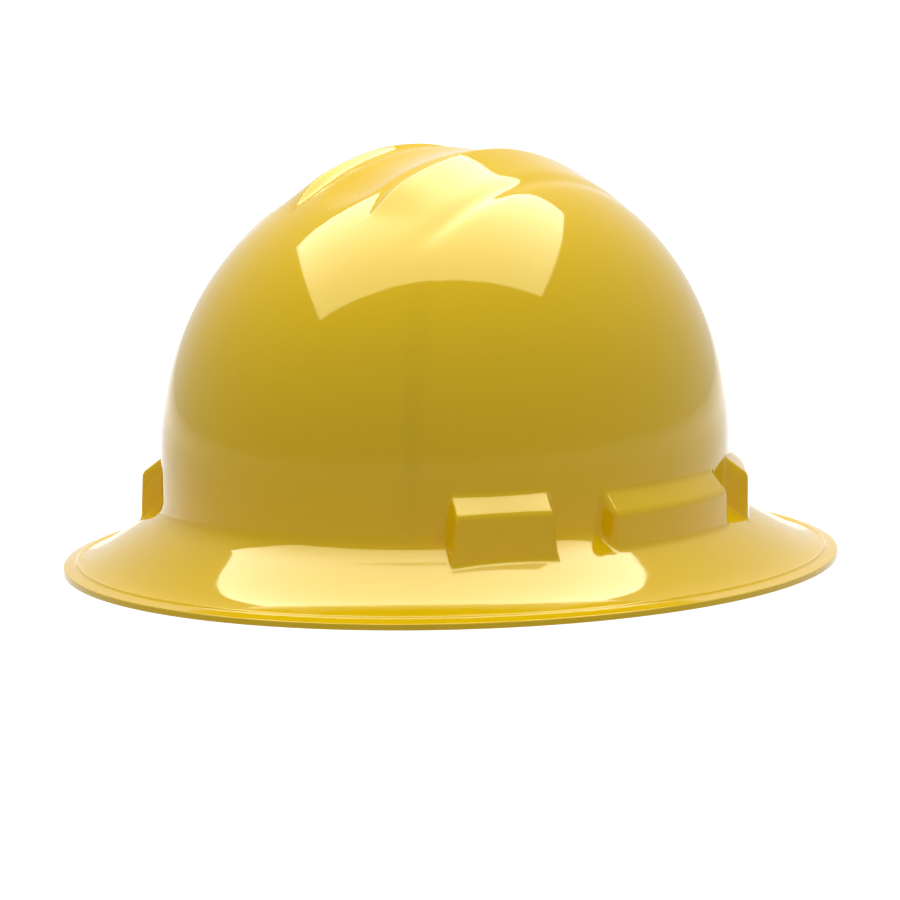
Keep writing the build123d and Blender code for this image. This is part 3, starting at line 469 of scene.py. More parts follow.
def ringPoint(alpha, startReach, t, inset):
    # dome point on the way from the cap's edge (t 0) down to the spring line (t 1)
    power = hat["power"]
    first = math.asin(min(1.0, startReach ** (power / 2)))
    turn = mix(first, math.pi / 2, t)
    reach = math.sin(turn) ** (2 / power)
    x = (hat["domeHalfWidth"] - inset) * reach * math.cos(alpha)
    y = (lengthAt(math.sin(alpha)) - inset) * reach * math.sin(alpha)
    rise = max(0.0, math.cos(turn)) ** (2 / power)
    return Vector((x, y, hat["spring"] + (hat["domeRise"] - inset) * rise))


def roundedPath(points, rounds, straightSteps, cornerSteps):
    # open path through points whose inner corners are rounded, as a list of (out, height)
    points = [Vector(point) for point in points]
    here = points[0]
    path = [here]
    for k, (radius, straight, steps) in enumerate(zip(rounds, straightSteps, cornerSteps), 1):
        corner = points[k]
        start = corner + (points[k - 1] - corner).normalized() * radius
        finish = corner + (points[k + 1] - corner).normalized() * radius
        path += [here.lerp(start, step / straight) for step in range(1, straight + 1)]
        for step in range(1, steps + 1):
            t = step / steps
            path.append(start * (1 - t) ** 2 + corner * 2 * t * (1 - t) + finish * t * t)
        here = finish
    last = straightSteps[-1]
    return path + [here.lerp(points[-1], step / last) for step in range(1, last + 1)]


bosses = {
    "corner": {
        "halfWidth": 0.0203,
        "proud": 0.007,
        "faceTop": 0.0343,
        "slopeRise": 0.0065,
        "edge": 0.0014,
        "taper": 0.1,
        "taperEnd": -0.4,
        "taperMiddle": 0.6,
        "ahead": 0.0013,
    },
    "side": {
        "front": -0.031,
        "rear": 0.0405,
        "proud": 0.0065,
        "faceTop": 0.0312,
        "slopeRise": 0.0074,
        "edge": 0.0020,
    },
    "round": (0.0017, 0.0019, 0.0018),
    "straightSteps": (3, 4, 6, 3),
    "cornerSteps": (5, 6, 6),
    "plainReach": 0.27,
    "plainPower": 1.8,
    "skirtRound": 0.0026,
}
socketAngles = (50.6, 134.0)


def cornerPlane(angle):
    # where a corner block's middle stands on the dome's outline, and its outward direction
    side = math.sin(math.radians(angle))
    ahead = math.cos(math.radians(angle))
    length = lengthAt(-ahead)
    reach = 1 / math.hypot(side / hat["domeHalfWidth"], ahead / length)
    origin = Vector((reach * side, -reach * ahead, 0))
    outward = Vector((origin.x / hat["domeHalfWidth"] ** 2, origin.y / length**2, 0)).normalized()
    return origin, outward, Vector((-outward.y, outward.x, 0))


cornerPlanes = [cornerPlane(angle) for angle in socketAngles]
for origin, outward, along in cornerPlanes[:]:
    mirror = Matrix.Diagonal((-1, 1, 1))
    cornerPlanes.append((mirror @ origin, mirror @ outward, -(mirror @ along)))


def bossAt(alpha):
    # share of a block that this column has, with the block's path and its sideways spread
    start, rim = wallAndRim(alpha)
    run = rim - start
    corner = bosses["corner"]
    for origin, outward, along in cornerPlanes:
        if start.dot(origin) < 0.5 * start.length * origin.length:
            continue
        depth = (start - origin).dot(outward)
        reach = (corner["proud"] - depth) / run.dot(outward)
        ahead = -math.copysign(corner["ahead"], along.y)
        spread = (start + run * reach - origin).dot(along) - ahead
        share = ease((corner["halfWidth"] + corner["edge"] - abs(spread)) / (2 * corner["edge"]))
        if share > 0:
            return share, reach, corner["faceTop"] + corner["slopeRise"], corner, (along, spread)
    side = bosses["side"]
    if abs(start.x) > hat["domeHalfWidth"] / 2:
        reach = side["proud"] / run.length
        middle = (side["front"] + side["rear"]) / 2
        half = (side["rear"] - side["front"]) / 2
        spread = (start + run * reach).y - middle
        share = ease((half + side["edge"] - abs(spread)) / (2 * side["edge"]))
        if share > 0:
            return share, reach, side["faceTop"] + side["slopeRise"], side, None
    return 0.0, 0.0, 0.0, None, None


def skirtColumn(alpha):
    # points from the spring line down over any block to where the open brim starts
    start, rim = wallAndRim(alpha)
    run = rim - start
    share, reach, slopeTop, block, sideways = bossAt(alpha)
    steps = sum(bosses["straightSteps"]) + sum(bosses["cornerSteps"])
    endReach = bosses["plainReach"]
    if share > 0:
        endReach = mix(endReach, reach + bosses["skirtRound"] / run.length, share)
    plain = []
    for k in range(1, steps + 1):
        f = k / steps
        if f < 0.5:
            plain.append((0.0, mix(hat["spring"], hat["flareTop"], f / 0.5)))
        else:
            out = endReach * ((f - 0.5) / 0.5) ** bosses["plainPower"]
            plain.append((out * run.length, brimHeight(out)))
    points = [start + run.normalized() * out + upward(height) for out, height in plain]
    if share <= 0:
        return points, endReach
    out = reach * run.length
    foot = brimHeight(reach)
    corners = [
        (0.0, hat["spring"]),
        (0.0, slopeTop),
        (out, block["faceTop"]),
        (out, foot),
        (endReach * run.length, brimHeight(endReach)),
    ]
    path = roundedPath(corners, bosses["round"], bosses["straightSteps"], bosses["cornerSteps"])[1:]
    mixed = []
    for plainPoint, (pathOut, height) in zip(points, path):
        point = start + run.normalized() * pathOut + upward(height)
        if sideways:
            along, spread = sideways
            fall = (block["faceTop"] - height) / (block["faceTop"] - foot)
            grow = block["taper"] * (min(1.0, max(block["taperEnd"], fall)) - block["taperMiddle"])
            point += along * spread * grow * min(1.0, pathOut / out)
        mixed.append(plainPoint.lerp(point, share))
    return mixed, endReach


def brimColumn(alpha, endReach):
    # open brim, bead, rounded edge and the flat ring that the hat stands on
    start, rim = wallAndRim(alpha)
    inward = start - rim
    length = inward.length
    inward = inward / length
    beadStart = hat["beadInset"] + 2 * hat["beadHalfWidth"]
    points = []

    def addPoint(back, height):
        points.append(rim + inward * back + upward(height))

    rings = hat["brimRings"]
    for k in range(1, rings + 1):
        back = mix((1 - endReach) * length, beadStart, k / rings)
        addPoint(back, brimHeight(1 - back / length))
    half, spread = hat["beadHalfWidth"], hat["beadSpread"]
    rings = hat["beadRings"]
    for k in range(1, rings + 1):
        back = hat["beadInset"] + mix(spread, -spread, k / rings) * half
        lift = hat["beadHeight"] * ease(1 - abs(back - hat["beadInset"]) / half)
        addPoint(back, brimHeight(1 - back / length) + lift)
    nearEdge = hat["beadInset"] - spread * half
    edge = hat["rimRound"]
    rings = hat["edgeRings"]
    for k in range(1, rings + 1):
        back = mix(nearEdge, edge, k / rings)
        addPoint(back, brimHeight(1 - back / length))
    top = brimHeight(1 - edge / length)
    corners = [(edge, top), (0.0, hat["rimHeight"]), (0.0, 0.0), (hat["flatRing"], 0.0)]
    for back, height in roundedPath(corners, (edge * 0.9, edge * 0.8), (1, 3, 3), (5, 4))[1:]:
        addPoint(back, height)
    return points


def insideColumn(alpha):
    # underside of the brim from the flat ring in to the wall, then up to the spring line
    points = []
    low = 1.0
    while brimHeight(low) - hat["underDrop"] < 0:
        low -= hat["rimSearch"]
    rings = hat["underRings"]
    for k in range(rings + 1):
        reach = low * (1 - k / rings) ** hat["underPower"]
        x, y = outlinePoint(alpha, hat["wall"], reach)
        points.append(Vector((x, y, brimHeight(reach) - hat["underDrop"])))
    x, y = outlinePoint(alpha, hat["wall"], 0)
    base = hat["flareTop"] - hat["underDrop"]
    rings = hat["innerRings"]
    for k in range(1, rings + 1):
        points.append(Vector((x, y, mix(base, hat["spring"], k / rings))))
    return points


def setGrid(verts, xs, ys, heightAt):
    # moves a unit grid's corners to the given columns and rows; returns them by column and row
    placed = {}
    for vert in verts:
        i = round((vert.co.x + 1) / 2 * (len(xs) - 1))
        j = round((vert.co.y + 1) / 2 * (len(ys) - 1))
        placed[i, j] = vert
    for (i, j), vert in placed.items():
        vert.co = Vector((xs[i], ys[j], heightAt(xs[i], ys[j])))
    return placed


def edgeAngles():
    # plan angles of the corner and side blocks' ends, in degrees, on the wearer's left
    marks = []
    last = bossAt(math.radians(-60))[0]
    for k in range(-600, 700):
        share = bossAt(math.radians(k / 10))[0]
        if (share > 0.5) != (last > 0.5):
            marks.append(k / 10)
        last = share
    return marks


# where the shell's columns and rows crowd together: width of the strip, and how much closer
crowding = {
    "crest": (0.0022, 9.0),
    "crease": (0.005, 2.5),
    "channelHalfWidth": (0.004, 2.0),
    "ridgeEnds": ((-0.074, 0.006, 1.5), (0.072, 0.006, 1.5)),
    "blockEnds": (1.1, 9.0),
}


def edgeRoute(columns, rows):
    # the cap's edge, in order from the front right corner, with the plan angle each column ends at
    low, high = hat["capFrontAngle"], hat["capRearAngle"]
    marks = [(mark, *crowding["blockEnds"]) for mark in edgeAngles()]
    sideAngles = spacedValues(low, high, rows, marks)
    route = [((i, 0), mix(-180 - low, low, i / columns)) for i in range(columns)]
    route += [((columns, j), sideAngles[j]) for j in range(rows)]
    route += [((columns - i, rows), mix(high, 180 - high, i / columns)) for i in range(columns)]
    return route + [((0, rows - j), 180 - sideAngles[rows - j]) for j in range(rows)]


def planPlace(x, y, inset):
    # share of the way out to the dome's outline, and the angle seen from above
    across = x / (hat["domeHalfWidth"] - inset)
    along = y / (lengthAt(y) - inset)
    return math.hypot(across, along), math.atan2(along, across)


def nearTurn(angle, goal):
    # the same angle, by whole turns as near to the goal as it can be
    return angle + 2 * math.pi * round((goal - angle) / (2 * math.pi))


def shellColumn(x, y, angle):
    # points from the cap's edge down to the rim outside, and up again inside
    rings, wall = hat["domeRings"], hat["wall"]
    reach, first = planPlace(x, y, 0)
    alpha = nearTurn(math.radians(angle), first)
    path = []
    for k in range(1, rings + 1):
        t = k / rings
        path.append(ringPoint(mix(first, alpha, ease(t)), reach, t, 0))
    skirt, endReach = skirtColumn(alpha)
    path += skirt + brimColumn(alpha, endReach) + insideColumn(alpha)
    reach, first = planPlace(x, y, wall)
    first = nearTurn(first, alpha)
    for k in range(1, rings + 1):
        t = 1 - k / rings
        path.append(ringPoint(mix(first, alpha, ease(t)), reach, t, wall))
    return path


def makeShell():
    columns, rows, halfWidth = hat["capColumns"], hat["capRows"], hat["capHalfWidth"]
    lines = ("crest", "crease", "channelHalfWidth")
    marks = [(sign * hat[line], *crowding[line]) for sign in (-1, 1) for line in lines]
    xs = spacedValues(-halfWidth, halfWidth, columns, marks)
    ys = spacedValues(-hat["capFront"], hat["capRear"], rows, crowding["ridgeEnds"])
    bm = bmesh.new()
    outer = bmesh.ops.create_grid(bm, x_segments=columns, y_segments=rows, size=1)
    placed = setGrid(outer["verts"], xs, ys, lambda x, y: plainHeight(x, y, 0) + crownRelief(x, y))
    columnOf, paths = {}, []
    for index, (key, angle) in enumerate(edgeRoute(columns, rows)):
        vert = placed[key]
        columnOf[vert] = index
        paths.append(shellColumn(vert.co.x, vert.co.y, angle))
    loop = [edge for edge in bm.edges if edge.is_boundary]
    for places in zip(*paths):
        loop, columnOf = extrudeLoop(bm, loop, columnOf, places)
    inner = bmesh.ops.create_grid(bm, x_segments=columns, y_segments=rows, size=1)
    setGrid(inner["verts"], xs, ys, lambda x, y: plainHeight(x, y, hat["wall"]) + crownRelief(x, y))
    bmesh.ops.remove_doubles(bm, verts=bm.verts, dist=hat["weld"])
    bmesh.ops.recalc_face_normals(bm, faces=bm.faces)
    cutPockets(bm)
    return makeObject("hatShell", bm, plastics["shell"], flatAngle=50)


pockets = {"halfWidth": 0.015, "inner": 0.001, "outer": 0.0042, "top": 0.033}
holeSearch = {"roof": 0.0275, "margin": 0.006, "slope": -0.05}
slots = {"inner": 0.1012, "outer": 0.1046, "front": -0.01075, "rear": 0.02025, "top": 0.030}


def cutPockets(bm):
    # key pockets and accessory slots, sunk into the underside of the brim
    holes = []
    for origin, outward, along in cornerPlanes:
        middle = origin + outward * (pockets["inner"] + pockets["outer"]) / 2
        depth = (pockets["outer"] - pockets["inner"]) / 2
        holes.append((middle, outward, along, depth, pockets["halfWidth"], pockets["top"]))
    for sign in (-1, 1):
        x, y = sign * (slots["inner"] + slots["outer"]) / 2, (slots["front"] + slots["rear"]) / 2
        middle = Vector((x, y, 0))
        half = (slots["rear"] - slots["front"]) / 2
        depth = (slots["outer"] - slots["inner"]) / 2
        holes.append((middle, Vector((sign, 0, 0)), Vector((0, 1, 0)), depth, half, slots["top"]))
    for middle, outward, along, depth, half, top in holes:
        def near(face, spare):
            offset = face.calc_center_median() - middle
            level = face.calc_center_median().z
            return (
                abs(offset.dot(outward)) < depth + spare
                and abs(offset.dot(along)) < half + spare
                and level < holeSearch["roof"]
                and face.normal.z < holeSearch["slope"]
            )

        for direction, reach in ((outward, depth), (outward, -depth), (along, half), (along, -half)):
            faces = [face for face in bm.faces if near(face, holeSearch["margin"])]
            geom = dict.fromkeys(part for face in faces for part in (face, *face.edges, *face.verts))
            edge = middle + direction * reach
            bmesh.ops.bisect_plane(bm, geom=list(geom), plane_co=edge, plane_no=direction)
        inside = [face for face in bm.faces if near(face, 0)]
        made = bmesh.ops.extrude_face_region(bm, geom=inside)["geom"]
        for item in made:
            if isinstance(item, bmesh.types.BMVert):
                item.co.z = top
        bmesh.ops.delete(bm, geom=inside, context="FACES")


hatShell = makeShell()
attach(hatShell, "shell_assembly")
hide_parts("shell")
print("shell made with", len(hatShell.data.polygons), "faces")


# Webbing: crown straps folded round the bars of the keys and sewn back on themselves
web = {
    "halfWidth": 0.0095,
    "profile": (
        (1.0, 0.0),
        (0.985, 0.34),
        (0.94, 0.56),
        (0.86, 0.58),
        (0.79, 0.5),
        (0.45, 0.52),
        (0.0, 0.54),
    ),
    "armInset": 0.0122,
    "armDepth": 0.0026,
    "barTop": 0.066,
    "barFoot": 0.0618,
    "room": 0.0009,
    "ply": 0.00116,
    "foot": 0.0675,
    "lapStart": 0.0012,
    "lapEnd": 0.0165,
    "lapSteps": 8,
    "archGap": 0.0003,
    "archPower": 1.9,
    "crowns": (0.113, 0.1155),
    "steps": 96,
    "sewn": (0.003, 0.0148, 0.0068),
}
strapStitch = {"pitch": 0.0027, "length": 0.0021, "thick": 0.0006}


def archPath(front, rear, crown):
    # middle line of the webbing between two keys, with the direction across it
    inset = web["armInset"] + web["armDepth"] + web["room"]
    start = front[0] - front[1] * inset + upward(web["foot"])
    run = rear[0] - rear[1] * inset + upward(web["foot"]) - start
    square = run.normalized().cross(upward(1))
    path = []
    for k in range(web["steps"] + 1):
        turn = math.pi * (k / web["steps"] - 0.5)
        along = math.copysign(abs(math.sin(turn)) ** (2 / web["archPower"]), turn)
        lift = max(0.0, math.cos(turn)) ** (2 / web["archPower"])
        spot = start + run * ((1 + along) / 2) + upward((crown - web["foot"]) * lift)
        side = front[2] if along < 0 else rear[2]
        side = side * math.copysign(1, side.dot(square))
        path.append((spot, square.lerp(side, abs(along) ** 3).normalized()))
    return path


def readPath(path, place):
    # point, direction across and direction out of the cloth at a length along a path
    k = 0
    while k < len(path) - 2 and place > (path[k + 1][0] - path[k][0]).length:
        place -= (path[k + 1][0] - path[k][0]).length
        k += 1
    step = path[k + 1][0] - path[k][0]
    t = place / step.length
    across = path[k][1].lerp(path[k + 1][1], t).normalized()
    return path[k][0] + step * t, across, step.cross(across).normalized()


def lapSurface(path, outward, off):
    # surface of the sewn lap, off being its height above the middle of the main ply
    def surface(u, v):
        spot, across, out = readPath(path, u)
        out = out * math.copysign(1, out.dot(outward))
        return spot + across * v + out * off

    return surface


def barWrap(plane, across):
    # webbing from the foot of its lap, over and round the bar of a key, to the foot of the arch
    inner = -web["armInset"] - web["armDepth"] - web["room"]
    outer = -web["armInset"] + web["room"]
    top = web["barTop"] + web["room"]
    low = web["barFoot"] - web["room"]
    lap = inner + web["ply"]
    start, finish = (lap, web["foot"] + web["room"]), (inner, web["foot"] - web["archGap"])
    corners = [start, (lap, top), (outer, top), (outer, low), (inner, low), finish]
    path = roundedPath(corners, (web["room"],) * 4, (1, 2, 3, 2, 3), (4, 4, 4, 4))
    return [(plane[0] + plane[1] * out + upward(height), across) for out, height in path]


def sewStrap(name, laps):
    # a box and a cross of stitches on both sides of each lap
    bm = bmesh.new()
    low, high, side = web["sewn"]
    box = [(low, -side), (high, -side), (high, side), (low, side)]
    lines = [(box[k], box[(k + 1) % 4]) for k in range(4)] + [(box[0], box[2]), (box[1], box[3])]
    face = web["profile"][-1][1] / 1000
    for path, plane in laps:
        for off in (web["ply"] + face, -face):
            surface = lapSurface(path, plane[1], off)
            for start, finish in lines:
                sewLine(bm, surface, start, finish, strapStitch)
    return makeObject(name + "Sewing", bm, threadCloth)


def makeStrap(name, front, rear, crown):
    arch = archPath(front, rear, crown)
    laps = ((arch, front), (arch[::-1], rear))
    ends = []
    for path, plane in laps:
        surface = lapSurface(path, plane[1], web["ply"])
        lap = []
        for k in range(web["lapSteps"] + 1):
            place = mix(web["lapEnd"], web["lapStart"], k / web["lapSteps"])
            lap.append((surface(place, 0), readPath(path, place)[1]))
        ends.append(lap + barWrap(plane, path[0][1]))
    whole = ends[0] + arch + ends[1][::-1]
    half = [(x * web["halfWidth"], thick / 1000) for x, thick in web["profile"]]
    half += [(-x, thick) for x, thick in half[-2::-1]]
    profile = half + [(x, -thick) for x, thick in half[-2:0:-1]]
    rings = []
    for k, (spot, across) in enumerate(whole):
        travel = whole[min(k + 1, len(whole) - 1)][0] - whole[max(k - 1, 0)][0]
        out = travel.cross(across).normalized()
        rings.append([spot + across * x + out * thick for x, thick in profile])
    bm = bmesh.new()
    length = skinRings(bm, rings, [x for x, thick in profile])
    strap = makeObject(name, bm, webbingCloth, flatAngle=60)
    sewing = sewStrap(name, laps)
    for piece in (strap, sewing):
        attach(piece, "shell_assembly")
    return strap, sewing, length


strapEnds = {
    "left_crown_strap": (0, 3, "front_left_key", "rear_right_key"),
    "right_crown_strap": (2, 1, "front_right_key", "rear_left_key"),
}
for (node, (front, rear, frontKey, rearKey)), crown in zip(strapEnds.items(), web["crowns"]):
    name = node.split("_")[0] + "CrownStrap"
    strap, sewing, length = makeStrap(name, cornerPlanes[front], cornerPlanes[rear], crown)
    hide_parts(node)
    print(name, "cut to", round(length * 1000), "mm")


# Pads: foam between cloth, sewn round the edge and in channels, filled against the seams
padStitch = {"pitch": 0.0031, "length": 0.0024, "thick": 0.00055}
padForm = {
    "backing": 0.0001,
    "seamSink": 0.00012,
    "borderRise": 0.0030,
    "channelWidth": 0.0024,
    "channelDip": 0.72,
    "freeBorder": 0.0004,
    "freeChannel": 0.0009,
    "swellReach": 0.004,
    "seamEdge": 0.001,
    "endTurn": 0.985,
    "evenness": 0.7,
}
filling = {"frames": 20, "quality": 6, "pressure": 4.0, "bending": 0.05}
browPad = {
    "halfWidth": 0.082,
    "halfLength": 0.113,
    "seat": 0.0023,
    "halfAngle": 61.5,
    "middle": 0.0285,
    "halfHeight": 0.0163,
    "edge": 0.0010,
    "thick": 0.0034,
    "corner": 0.009,
    "border": 0.0034,
    "rows": 22,
    "columns": 128,
    "seams": (-0.072, -0.036, 0.0, 0.036, 0.072),
    "swell": 0.0006,
}
napePad = {
    "radius": 0.07475,
    "centre": 0.00265,
    "halfWidth": 0.0326,
    "middle": 0.024,
    "halfHeight": 0.0148,
    "edge": 0.0010,
    "thick": 0.0024,
    "corner": 0.008,
    "border": 0.0032,
    "rows": 20,
    "columns": 44,
    "seams": (-0.0115, 0.0115),
    "swell": 0.0004,
}


def browBase():
    # place of (length from the middle, height, depth from the headband), and the half length
    pad = browPad
    last = math.atan(pad["halfLength"] / pad["halfWidth"] * math.tan(math.radians(pad["halfAngle"])))
    table = [(0.0, 0.0)]
    steps = 60
    inset = pad["seat"] + pad["thick"] / 2
    for k in range(steps):
        turn = last * (k + 0.5) / steps
        across, ahead = pad["halfWidth"] - inset, pad["halfLength"] - inset
        step = math.hypot(across * math.cos(turn), ahead * math.sin(turn)) * last / steps
        table.append((table[-1][0] + step, last * (k + 1) / steps))

    def base(u, v, depth):
        turn = math.copysign(readCurve(table, min(abs(u), table[-1][0])), u)
        inset = pad["seat"] + depth
        x = (pad["halfWidth"] - inset) * math.sin(turn)
        y = -(pad["halfLength"] - inset) * math.cos(turn)
        return Vector((x, y, pad["middle"] + v))

    return base, table[-1][0]


def napeBase():
    pad = napePad

    def base(u, v, depth):
        turn = u / pad["radius"]
        reach = pad["radius"] - depth
        return Vector((-reach * math.sin(turn), pad["centre"] + reach * math.cos(turn), pad["middle"] + v))

    return base, pad["radius"] * math.asin(pad["halfWidth"] / pad["radius"])


def padShape(pad, halfLength):
    def halfHeight(u):
        over = max(0.0, abs(u) - halfLength + pad["corner"])
        return pad["halfHeight"] - pad["corner"] + math.sqrt(max(0.0, pad["corner"] ** 2 - over**2))

    def seamDistance(u, v):
        # distance to the nearest sewn line
        border = min(halfHeight(u) - abs(v), halfLength - abs(u)) - pad["border"]
        channel = min(abs(u - seam) for seam in pad["seams"])
        return border, channel

    def thickness(u, v):
        border, channel = seamDistance(u, v)
        if border < 0:
            return pad["edge"] - padForm["seamSink"] * ease(1 + border / padForm["seamEdge"])
        dip = padForm["channelDip"] * math.exp(-((channel / padForm["channelWidth"]) ** 2))
        rise = (1 - math.exp(-border / padForm["borderRise"])) * (1 - dip)
        return pad["edge"] - padForm["seamSink"] + (pad["thick"] - pad["edge"]) * rise

    return halfHeight, seamDistance, thickness


def fillPad(piece, pinned, limits):
    # cloth filled with air against its pinned seams, no point moving further than its limit
    scene = bpy.context.scene
    group = piece.vertex_groups.new(name="sewn")
    group.add(pinned, 1.0, "REPLACE")
    cloth = piece.modifiers.new("fill", "CLOTH")
    cloth.settings.quality = filling["quality"]
    cloth.settings.use_pressure = True
    cloth.settings.uniform_pressure_force = filling["pressure"]
    cloth.settings.effector_weights.gravity = 0
    cloth.settings.vertex_group_mass = "sewn"
    cloth.settings.bending_stiffness = filling["bending"]
    for number in range(1, filling["frames"] + 1):
        scene.frame_set(number)
    graph = bpy.context.evaluated_depsgraph_get()
    filled = [vert.co.copy() for vert in piece.evaluated_get(graph).data.vertices]
    piece.modifiers.remove(cloth)
    most = 0.0
    for vert, place, limit in zip(piece.data.vertices, filled, limits):
        move = place - vert.co
        most = max(most, move.length)
        vert.co += move * min(1.0, limit / max(move.length, 1e-9))
    scene.frame_set(1)
    print(piece.name, "filled, most before the limit", round(most * 1000, 2), "mm")


def sewPad(name, pad, base, halfLength, thickness):
    # stitches a border's width inside the pad's edge, and along each channel
    def surface(u, v):
        return base(u, v, thickness(u, v) + padForm["backing"])

    bm = bmesh.new()
    inU, inV = halfLength - pad["border"], pad["halfHeight"] - pad["border"]
    cut = pad["corner"] - pad["border"]
    turn = [(cut * math.sin(math.pi / 2 * k / 4), cut * math.cos(math.pi / 2 * k / 4)) for k in range(5)]
    corner = [(inU - cut + out, inV - cut + up) for out, up in turn]
    outline = corner + [(u, -v) for u, v in corner[::-1]]
    outline += [(-u, v) for u, v in outline[::-1]]
    for start, finish in zip(outline, outline[1:] + outline[:1]):
        sewLine(bm, surface, start, finish, padStitch)
    for seam in pad["seams"]:
        sewLine(bm, surface, (seam, -inV), (seam, inV), padStitch)
    return makeObject(name + "Sewing", bm, threadCloth)


def makePad(name, pad, basis, body):
    base, halfLength = basis
    halfHeight, seamDistance, thickness = padShape(pad, halfLength)
    rows, columns = pad["rows"], pad["columns"]
    rings, marks = [], []
    for i in range(columns + 1):
        # columns crowd towards both ends, where the outline turns its corners
        even = mix(-1, 1, i / columns)
        full = padForm["endTurn"]
        u = halfLength * math.sin(math.pi / 2 * even * full) / math.sin(math.pi / 2 * full)
        u = mix(u, halfLength * even, padForm["evenness"])
        tall = halfHeight(u)
        back, front = [], []
        for j in range(rows + 1):
            v = tall * mix(-1, 1, j / rows)
            back.append((base(u, v, padForm["backing"]), 0.0))
            border, channel = seamDistance(u, v)
            free = border > padForm["freeBorder"] and channel > padForm["freeChannel"]
            limit = pad["swell"] * ease(border / padForm["swellReach"]) if free else 0.0
            front.append((base(u, v, thickness(u, v)), limit))
        ring = back + front[::-1]
        rings.append([place for place, limit in ring])
        marks += [(place, limit) for place, limit in ring]
    tall = [pad["halfHeight"] * mix(-1, 1, j / rows) for j in range(rows + 1)]
    bm = bmesh.new()
    skinRings(bm, rings, tall + tall[::-1])
    piece = makeObject(name, bm, padCloth)
    spot = {tuple(round(c, 7) for c in place): limit for place, limit in marks}
    limits = [spot.get(tuple(round(c, 7) for c in vert.co), 0.0) for vert in piece.data.vertices]
    fillPad(piece, [k for k, limit in enumerate(limits) if limit <= 0], limits)
    smooth = piece.modifiers.new("smooth", "SUBSURF")
    smooth.levels = smooth.render_levels = 1
    for item in (piece, sewPad(name, pad, base, halfLength, thickness)):
        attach(item, body)
    return piece


padPlaces = (
    ("browPad", browPad, browBase(), "headband_assembly", "brow_pad"),
    ("napePad", napePad, napeBase(), "ratchet_housing", "nape_pad"),
)
for name, pad, basis, body, node in padPlaces:
    piece = makePad(name, pad, basis, body)
    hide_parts(node)
print("straps and pads made")


# Camera at the photograph's place
view = {
    "azimuth": 41.8,
    "elevation": 7.6,
    "distance": 1.5,
    "focal": 2.635,
    "targetHeight": 0.060,
    "photoSize": 900,
    "targetPixel": (455.8, 400.5),
    "sensor": 36.0,
}


def makeCamera():
    data = bpy.data.cameras.new("photoCamera")
    camera = bpy.data.objects.new("photoCamera", data)
    bpy.context.scene.collection.objects.link(camera)
    azimuth = math.radians(view["azimuth"])
    elevation = math.radians(view["elevation"])
    flat = math.cos(elevation)
    back = Vector((math.sin(azimuth) * flat, -math.cos(azimuth) * flat, math.sin(elevation)))
    target = upward(view["targetHeight"])
    camera.location = target + back * view["distance"]
    camera.rotation_euler = (-back).to_track_quat("-Z", "Y").to_euler()
    size = view["photoSize"]
    data.sensor_width = view["sensor"]
    data.lens = view["focal"] * 1000 * view["distance"] / size * view["sensor"]
    data.shift_x = (size / 2 - view["targetPixel"][0]) / size
    data.shift_y = (view["targetPixel"][1] - size / 2) / size
    data.clip_end = 20
    bpy.context.scene.camera = camera


makeCamera()


# Light, floor and backdrop
studio = {
    "boxHeight": 1.2,
    "boxCorners": (
        (-0.231, -1.011),
        (1.016, 0.431),
        (0.060, 1.045),
        (-0.420, 0.900),
        (-0.885, 0.120),
        (-1.016, -0.132),
    ),
    "boxFade": (-0.55, 0.7),
    "boxGloss": (7.2, 9.6),
    "boxMiddle": (-0.085, 0.108),
    "boxSize": (1.6, 1.2),
    "boxTurn": 48.0,
    "boxDiffuse": 15.6,
    "worldDiffuse": 0.33,
    "floorSize": 6.0,
    "floorColor": (0.8, 0.8, 0.8, 1),
    "floorFade": (0.30, 0.9),
    "floorGlow": (0.5, 1.0),
    "floorBounce": 0.55,
}


def areaLight():
    data = bpy.data.lights.new("overheadBox", "AREA")
    data.shape = "RECTANGLE"
    data.size, data.size_y = studio["boxSize"]
    data.energy = studio["boxDiffuse"]
    lamp = bpy.data.objects.new("overheadBox", data)
    lamp.location = (*studio["boxMiddle"], studio["boxHeight"])
    lamp.rotation_euler = (0, 0, math.radians(studio["boxTurn"]))
    lamp.visible_glossy = False
    bpy.context.scene.collection.objects.link(lamp)


def addFade(tree, value, reach, levels):
    # soft step of a value over a reach, from one level to the other
    feeds = {"Value": value}
    for label, (least, most) in (("From", reach), ("To", levels)):
        feeds[label + " Min"] = least
        feeds[label + " Max"] = most
    return addNode(tree, "ShaderNodeMapRange", feeds, interpolation_type="SMOOTHSTEP").outputs[0]


def scrim():
    # the cloth in front of the overhead light, as glossy faces show it, brighter on its far side
    bm = bmesh.new()
    corners = studio["boxCorners"]
    verts = bmesh.ops.create_circle(bm, cap_ends=True, segments=len(corners), radius=1)["verts"]
    for vert, (x, y) in zip(verts, corners):
        vert.co = Vector((x, y, studio["boxHeight"]))
    material, tree, shader = startMaterial("scrimGlow", 1.0)
    place = tree.nodes.new("ShaderNodeTexCoord").outputs["Object"]
    turn = math.radians(studio["boxTurn"])
    feeds = {0: place, 1: (-math.sin(turn), math.cos(turn), 0)}
    across = addNode(tree, "ShaderNodeVectorMath", feeds, operation="DOT_PRODUCT")
    fade = addFade(tree, across.outputs["Value"], studio["boxFade"], studio["boxGloss"])
    glow = addNode(tree, "ShaderNodeEmission", {"Strength": fade})
    setInputs(tree, tree.nodes["Material Output"], {"Surface": glow.outputs[0]})
    panel = makeObject("overheadScrim", bm, material)
    panel.visible_camera = panel.visible_diffuse = panel.visible_shadow = False


def seenRays(tree):
    # 1 for the rays that see the background as it is: from the camera, off a glossy face, through glass
    path = tree.nodes.new("ShaderNodeLightPath").outputs
    seen = addMath(tree, "MAXIMUM", path["Is Camera Ray"], path["Is Glossy Ray"])
    return addMath(tree, "MAXIMUM", seen, path["Is Transmission Ray"])


